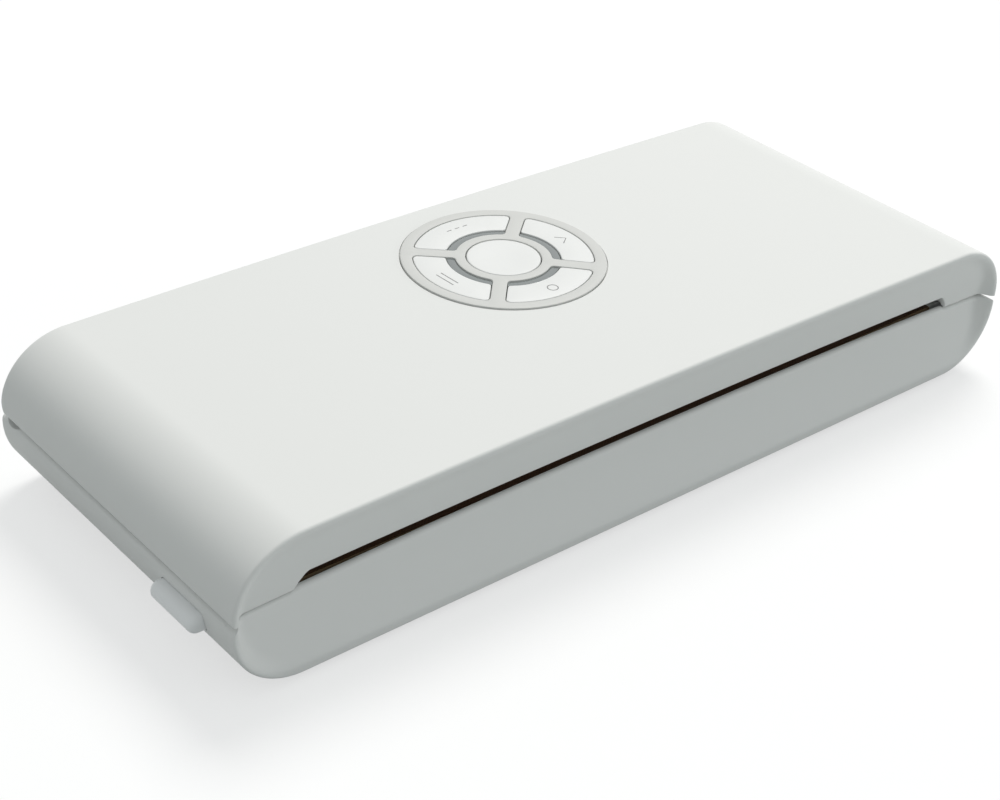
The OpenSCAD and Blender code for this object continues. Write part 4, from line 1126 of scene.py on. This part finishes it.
# slot: colour, or the setting that holds it, then tone, roughness, grain size, grain, shader inputs
FINISHES = {
    "white_shell": ("shell", 0.02, 0.62, 2600.0, 0.05, {"Specular IOR Level": 0.35}),
    "white_inner": ("inner", 0.03, 0.5, 2000.0, 0.08, {}),
    "white_button": ("button", 0.015, 0.5, 2600.0, 0.03, {}),
    "release_plastic": ("release", 0.02, 0.4, 2400.0, 0.05, {}),
    "bezel_silver": ("bezel", 0.02, 0.55, 3000.0, 0.05, {}),
    "smoked_window": ("smoked", 0.02, 0.16, 800.0, 0.01, {"Coat Weight": 0.5}),
    "mark_grey": ("mark", 0.03, 0.6, 2600.0, 0.02, {}),
    "foam_grey": ("seal", 0.1, 0.9, 900.0, 0.6, {}),
    "tape_brown": ("tape", 0.08, 0.38, 1500.0, 0.1, {}),
    "rubber_dark": ((0.035, 0.035, 0.037), 0.05, 0.75, 1500.0, 0.2, {}),
    # Press strip: near-black partly as its own colour, partly as painted shade for its face in the slot's shadow
    "silicone": ((0.06, 0.05, 0.04), 0.05, 0.6, 1500.0, 0.15, {}),
    "clear_tube": ((0.55, 0.53, 0.48), 0.05, 0.25, 900.0, 0.02, {"Transmission Weight": 0.5}),
    "black_plastic": ((0.028, 0.027, 0.026), 0.06, 0.5, 1800.0, 0.12, {}),
    "wire_red": ((0.42, 0.03, 0.025), 0.06, 0.45, 1500.0, 0.05, {}),
    "led_lens": ((0.45, 0.66, 0.76), 0.02, 0.15, 900.0, 0.02, {"Transmission Weight": 0.6}),
    "steel_part": ((0.58, 0.58, 0.59), 0.05, 0.32, 3000.0, 0.05, METAL),
    "nichrome": ((0.50, 0.49, 0.47), 0.05, 0.32, 3000.0, 0.05, METAL),
    "brass_part": ((0.68, 0.50, 0.22), 0.05, 0.32, 3000.0, 0.05, METAL),
    "copper_core": ((0.50, 0.24, 0.09), 0.05, 0.35, 900.0, 0.05, {"Metallic": 0.9}),
    "heat_bar": ((0.30, 0.21, 0.12), 0.08, 0.6, 1200.0, 0.2, {}),
    "board_green": ((0.02, 0.16, 0.07), 0.05, 0.3, 900.0, 0.05, {}),
}

# slot: two colours, then texture, amount, stretch, height of the relief, texture inputs
PATTERNS = {
    "steel_part": ((0.45, 0.45, 0.46), (0.66, 0.66, 0.67), *BRUSHED),
    "nichrome": ((0.38, 0.36, 0.34), (0.60, 0.59, 0.57), *BRUSHED),
    "brass_part": ((0.55, 0.38, 0.14), (0.78, 0.60, 0.30), *BRUSHED),
    "copper_core": (
        (0.30, 0.12, 0.04), (0.66, 0.36, 0.16),
        "ShaderNodeTexWave", 0.8, EVEN, 0.00008, {"Scale": 500.0},
    ),
    # The tape's two browns are darkened as painted shade for the slot, like its colour setting
    "tape_brown": (
        (0.045, 0.02, 0.009), (0.08, 0.038, 0.018),
        "ShaderNodeTexChecker", 0.8, EVEN, 0.00002, {"Scale": 1400.0},
    ),
    "heat_bar": (
        (0.22, 0.15, 0.08), (0.38, 0.28, 0.17),
        "ShaderNodeTexNoise", 0.7, (4.0, 30.0, 90.0), 0.0, {"Scale": 30.0},
    ),
    "board_green": (
        (0.015, 0.12, 0.05), (0.05, 0.25, 0.12),
        "ShaderNodeTexBrick", 0.6, EVEN, 0.00002, {"Scale": 90.0},
    ),
}


def finish_for(slot_name):
    """The procedural material of one of the record's slots, under a name of its own."""
    name = "Finish_" + slot_name
    if name in bpy.data.materials:
        return bpy.data.materials[name]
    base, *grades, shader = FINISHES[slot_name]
    if isinstance(base, str):
        base = getattr(bpy.context.scene.sealer_finish, base)
    made = surface(name, base, *grades, **shader)
    if slot_name in PATTERNS:
        *pattern, values = PATTERNS[slot_name]
        add_pattern(made, *pattern, **values)
    return made


# ---- operators ----


class SEALER_OT_lid(bpy.types.Operator):
    """Builds the lid's moulded shell with its rim, slot and panel seat"""

    bl_idname = "sealer.lid"
    bl_label = "Lid"

    def execute(self, context):
        s = context.scene.sealer_shell
        piece = make_mesh("Lid_shell", *lid_points(s))
        carve(piece, drum(PANEL, PANEL_R + SEAT_GAP, PANEL_TOP - BEZEL_T, SEAT_TOP))
        carve(piece, drum(PANEL, SEAT_HOLE_R, *SEAT_HOLE_Z))
        finish_piece(piece, "lid", "white_shell", "lid_shell")
        cheeks = joined(*(cheek_points(side, s) for side in (-1, 1)))
        place_piece("Slot_cheeks", cheeks, "lid", "white_shell")
        return {"FINISHED"}


class SEALER_OT_base(bpy.types.Operator):
    """Builds the base's moulded shell and its front apron"""

    bl_idname = "sealer.base"
    bl_label = "Base"

    def execute(self, context):
        s = context.scene.sealer_shell
        place_piece("Front_apron", apron_points(s), "base", "white_shell", "front_apron")
        piece = make_mesh("Base_shell", *base_points(s))
        for place in SCREWS:
            carve(piece, drum(place, SCREW_R, *SCREW_Z, 32))
        for side in (-1, 1):
            ends = sorted(side * x for x in RELEASE_OPENING)
            low = (ends[0], RELEASE_Y[0] - RELEASE_GAP, RELEASE_Z[0] - RELEASE_GAP)
            high = (ends[1], RELEASE_Y[1] + RELEASE_GAP, RELEASE_Z[1] + RELEASE_GAP)
            carve(piece, make_mesh("Cutter", *bar(low, high, RELEASE_R + RELEASE_GAP)))
        carve(piece, swing_cutter())
        finish_piece(piece, "base", "white_shell", "base_shell")
        towers = joined(*(revolve(np.array(TOWER) * MM, place, 32) for place in SCREWS))
        place_piece("Screw_towers", towers, "base", "white_shell")
        return {"FINISHED"}


class SEALER_OT_panel_parts(bpy.types.Operator):
    """Builds the round control panel: bezel, buttons, smoked windows and printed marks"""

    bl_idname = "sealer.panel_parts"
    bl_label = "Control panel"

    def execute(self, context):
        p = context.scene.sealer_panel
        place_piece("Bezel", bezel_points(p), "lid", "bezel_silver", "control_bezel")
        low, high = corners("indicator_window")
        start, stop = p.hub_out + ARC_START, p.hub_out + ARC_STOP
        strip = p.spoke_w / 2 + ARC_EDGE
        loops = [sector(start, stop, strip, ARC_CORNER, place) for place in SIDES.values()]
        arcs = joined(*(plate(loop, [], low[2], high[2], ARC_EDGE) for loop in loops))
        place_piece("Indicator_window", arcs, "lid", "smoked_window", "indicator_window")
        start, stop = p.hub_out + BUTTON_START, p.ring_in - p.gap
        for side, place in SIDES.items():
            solid = "button_" + side
            low, high = corners(solid)
            loop = sector(start, stop, p.spoke_w / 2 + p.gap, p.corner - p.gap, place)
            shape = plate(loop, [], low[2], high[2], BUTTON_EDGE)
            place_piece("Button_" + side, shape, solid, "white_button", solid)
            strokes = joined(*(
                ribbon(spin(path, place[0]), MARK_W, high[2] - MARK_T, high[2] + MARK_T, closed)
                for path, closed in mark_strokes(side)
            ))
            place_piece("Mark_" + side, strokes, solid, "black_plastic", look="mark_grey")
        place_piece("Button_centre", centre_points(p), "button_centre", "white_button", "button_centre")
        return {"FINISHED"}


class SEALER_OT_seals(bpy.types.Operator):
    """Builds the foam seals and the press strip"""

    bl_idname = "sealer.seals"
    bl_label = "Seals"

    def execute(self, context):
        for level, body in (("lower", "base"), ("upper", "lid")):
            solid = level + "_gasket"
            shape = ring_round(*corners(solid), SEAL_R, SEAL_W, SEAL_EDGE)
            place_piece(level.capitalize() + "_seal", shape, body, "foam_grey", solid)
        strip = bar(*corners("press_strip"), STRIP_EDGE)
        place_piece("Press_strip", strip, "lid", "silicone", "press_strip")
        return {"FINISHED"}


class SEALER_OT_fittings(bpy.types.Operator):
    """Builds the side releases and the feet"""

    bl_idname = "sealer.fittings"
    bl_label = "Releases and feet"

    def execute(self, context):
        for side, solid in ((-1, "left_release"), (1, "right_release")):
            low, high = corners(solid)
            tip = max(abs(low[0]), abs(high[0])) - RELEASE_SHORT
            shape = joined(*release_parts(side, tip))
            place_piece("Release_" + solid[:-8], shape, solid, "release_plastic", solid, sharp=40.0)
        x, y = (float(value) - FOOT_R for value in corners("feet")[1][:2])
        turn = np.linspace(0, QUARTER, 5)
        under = [(FOOT_R - FOOT_EDGE * (1 - math.sin(a)), FOOT_EDGE * (1 - math.cos(a))) for a in turn]
        profile = [(0.0, 0.0), *under, (FOOT_R, FOOT_TALL), (0.0, FOOT_TALL)]
        feet = joined(*(revolve(profile, place, 48) for place in ((-x, -y), (x, -y), (x, y), (-x, y))))
        place_piece("Rubber_feet", feet, "base", "rubber_dark", "feet")
        return {"FINISHED"}


def release_parts(side, tip):
    """A side release: a bar with a full round nose, its stop flange and its catch plate.

    The nose's outline, a rectangle that ends in a half circle, is carried along the depth and shrinks
    at both ends by r (1 - cos a) while it advances by r sin a.
    """
    low_y, high_y = RELEASE_Y
    low_z, high_z = RELEASE_Z
    nose = (high_z - low_z) / 2
    middle_z = (low_z + high_z) / 2
    turn = np.linspace(-QUARTER, QUARTER, 25)
    loop = np.column_stack([tip - nose + nose * np.cos(turn), middle_z + nose * np.sin(turn)])
    loop = np.concatenate([loop, [[RELEASE_INNER, high_z], [RELEASE_INNER, low_z]]])
    quarter = np.linspace(0, QUARTER, 7)
    stations = [(low_y + RELEASE_R * (1 - math.cos(a)), RELEASE_R * (1 - math.sin(a))) for a in quarter]
    stations += [(low_y + high_y - y, shrink) for y, shrink in stations[::-1]]
    centre = np.array([tip - nose, middle_z])
    rows = []
    for y, shrink in stations:
        scale = (nose - shrink) / nose
        ring = centre + (loop - centre) * [1.0, scale]
        ring[:-2, 0] = centre[0] + (loop[:-2, 0] - centre[0]) * scale
        rows.append(np.column_stack([ring[:, 0], np.full(len(ring), y), ring[:, 1]]))
    grid = np.stack(rows)
    grid[..., 0] *= side
    parts = [skin(grid)]
    for a, b in CATCH_BARS:
        ends = sorted((side * a[0] * MM, side * b[0] * MM))
        parts.append(bar((ends[0], a[1] * MM, a[2] * MM), (ends[1], b[1] * MM, b[2] * MM), CATCH_R))
    return parts


class SEALER_OT_finishes(bpy.types.Operator):
    """Gives every solid that still shows its procedural finish"""

    bl_idname = "sealer.finishes"
    bl_label = "Finishes"

    def execute(self, context):
        slots = {part["node"]: part["material_slot"] for part in frame["record"]["subparts"]}
        for name, solid in frame["nodes"].items():
            material = finish_for(slots[name])
            for place in solid.material_slots:
                place.link = "OBJECT"
                place.material = material
        return {"FINISHED"}


class SEALER_OT_stage(bpy.types.Operator):
    """Sets up the white floor, the soft light and the camera"""

    bl_idname = "sealer.stage"
    bl_label = "Stage"

    def execute(self, context):
        st = context.scene.sealer_stage
        scene = context.scene
        white_world(scene, st.sky, st.sky_tint)
        floor = make_mesh("Floor", *floor_points())
        floor.data.materials.append(floor_material())
        soft_box("Key", st.key, st.key_tint, KEY_TOWARD)
        soft_box("Fill", st.fill, st.fill_tint, FILL_TOWARD)
        camera_data = bpy.data.cameras.new("Camera")
        camera_data.lens = st.lens
        camera_data.sensor_width = 36.0
        camera = bpy.data.objects.new("Camera", camera_data)
        a, e, r = st.azimuth, st.elevation, st.roll
        back = Vector((math.sin(a) * math.cos(e), -math.cos(a) * math.cos(e), math.sin(e)))
        right = (-back).cross(Vector((0, 0, 1))).normalized()
        up = right.cross(-back)
        axis_x = math.cos(r) * right + math.sin(r) * up
        axis_y = -math.sin(r) * right + math.cos(r) * up
        turn = Matrix((axis_x, axis_y, back)).transposed().to_4x4()
        camera.matrix_world = Matrix.Translation(Vector(st.focus) + back * st.distance) @ turn
        scene.collection.objects.link(camera)
        scene.camera = camera
        scene.render.resolution_x = 1000
        scene.render.resolution_y = 800
        scene.view_settings.view_transform = "Standard"
        return {"FINISHED"}


def soft_box(name, power, tint, toward):
    """A round soft light that stands off in a direction and faces the origin."""
    lamp = bpy.data.lights.new(name, "AREA")
    lamp.energy = power
    lamp.color = tint
    lamp.shape = "DISK"
    lamp.size = LIGHT_W
    holder = bpy.data.objects.new(name, lamp)
    turn = toward.to_track_quat("Z", "Y").to_matrix().to_4x4()
    holder.matrix_world = Matrix.Translation(toward.normalized() * LIGHT_AWAY) @ turn
    bpy.context.scene.collection.objects.link(holder)


def floor_points():
    """A wide level floor as a grid, z = 0."""
    across_floor = np.linspace(-FLOOR_HALF, FLOOR_HALF, 9)
    x, y = np.meshgrid(across_floor, across_floor, indexing="ij")
    ids = np.arange(x.size).reshape(x.shape)
    return np.stack([x, y, np.zeros_like(x)], axis=-1).reshape(-1, 3), grid_quads(ids)


def seen_rays(tree):
    """1 for rays from the camera, in mirrors and through glass, and 0 for the rest."""
    rays = node(tree, "ShaderNodeLightPath").outputs
    first = math_node(tree, "MAXIMUM", rays["Is Camera Ray"], rays["Is Glossy Ray"])
    return math_node(tree, "MAXIMUM", first, rays["Is Transmission Ray"])


def mixed(tree, share, first, second):
    """A shader that goes from the first to the second with a share."""
    mix = node(tree, "ShaderNodeMixShader")
    for socket, source in zip(mix.inputs, (share, first.outputs[0], second.outputs[0])):
        tree.links.new(source, socket)
    return mix


def white_world(scene, sky, tint):
    """A world that looks white and lights softly."""
    world = bpy.data.worlds.new("Studio")
    world.use_nodes = True
    tree = world.node_tree
    tree.nodes.clear()
    seen = node(tree, "ShaderNodeBackground", Color=(1, 1, 1, 1), Strength=1.0)
    light = node(tree, "ShaderNodeBackground", Color=(*tint, 1), Strength=sky)
    out = node(tree, "ShaderNodeOutputWorld")
    tree.links.new(mixed(tree, seen_rays(tree), light, seen).outputs[0], out.inputs[0])
    scene.world = world


def floor_material():
    """White paper that looks white, keeps a light shadow and turns plain white away from the object.

    It throws back less than half of the light, so that it doesn't flood the object from below.
    """
    material = bpy.data.materials.new("Paper")
    material.use_nodes = True
    tree = material.node_tree
    tree.nodes.clear()
    link = tree.links.new
    paper = node(tree, "ShaderNodeBsdfDiffuse", Color=(1.0, 1.0, 1.0, 1))
    white = node(tree, "ShaderNodeEmission", Color=(1, 1, 1, 1), Strength=1.02)
    place = node(tree, "ShaderNodeTexCoord")
    reach = node(tree, "ShaderNodeVectorMath", operation="LENGTH")
    share = node(tree, "ShaderNodeMapRange", interpolation_type="SMOOTHSTEP")
    for key, value in {"From Min": 0.28, "From Max": 0.62, "To Min": 0.6, "To Max": 1.0}.items():
        share.inputs[key].default_value = value
    link(place.outputs["Object"], reach.inputs[0])
    link(reach.outputs["Value"], share.inputs["Value"])
    seen = mixed(tree, share.outputs["Result"], paper, white)
    dim = node(tree, "ShaderNodeBsdfDiffuse", Color=(0.44, 0.46, 0.46, 1))
    out = node(tree, "ShaderNodeOutputMaterial")
    link(mixed(tree, seen_rays(tree), dim, seen).outputs[0], out.inputs[0])
    return material


OPERATORS = (
    SEALER_OT_base,
    SEALER_OT_lid,
    SEALER_OT_panel_parts,
    SEALER_OT_seals,
    SEALER_OT_fittings,
    SEALER_OT_finishes,
    SEALER_OT_stage,
)

GROUPS = {
    "sealer_shell": SealerShellSettings,
    "sealer_panel": SealerPanelSettings,
    "sealer_finish": SealerFinishSettings,
    "sealer_stage": SealerStageSettings,
}


class SEALER_PT_main(bpy.types.Panel):
    """Lists the steps and their settings"""

    bl_idname = "SEALER_PT_main"
    bl_label = "Vacuum sealer"
    bl_space_type = "VIEW_3D"
    bl_region_type = "UI"
    bl_category = "Vacuum sealer"

    def draw(self, context):
        layout = self.layout
        for operator in OPERATORS:
            layout.operator(operator.bl_idname)
        for name, kind in GROUPS.items():
            box = layout.box()
            box.label(text=kind.__doc__)
            for key in kind.__annotations__:
                box.prop(getattr(context.scene, name), key)


def register():
    """Registers the settings, the operators and the panel."""
    for kind in (*GROUPS.values(), *OPERATORS, SEALER_PT_main):
        bpy.utils.register_class(kind)
    for name, kind in GROUPS.items():
        setattr(bpy.types.Scene, name, bpy.props.PointerProperty(type=kind))


def unregister():
    """Takes the settings, the operators and the panel out again."""
    for name in GROUPS:
        delattr(bpy.types.Scene, name)
    for kind in (SEALER_PT_main, *reversed(OPERATORS), *GROUPS.values()):
        bpy.utils.unregister_class(kind)


def main():
    """Builds everything in order."""
    register()
    bpy.ops.sealer.base()
    bpy.ops.sealer.lid()
    bpy.ops.sealer.panel_parts()
    bpy.ops.sealer.seals()
    bpy.ops.sealer.fittings()
    bpy.ops.sealer.finishes()
    bpy.ops.sealer.stage()
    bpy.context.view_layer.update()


if __name__ == "__main__":
    main()
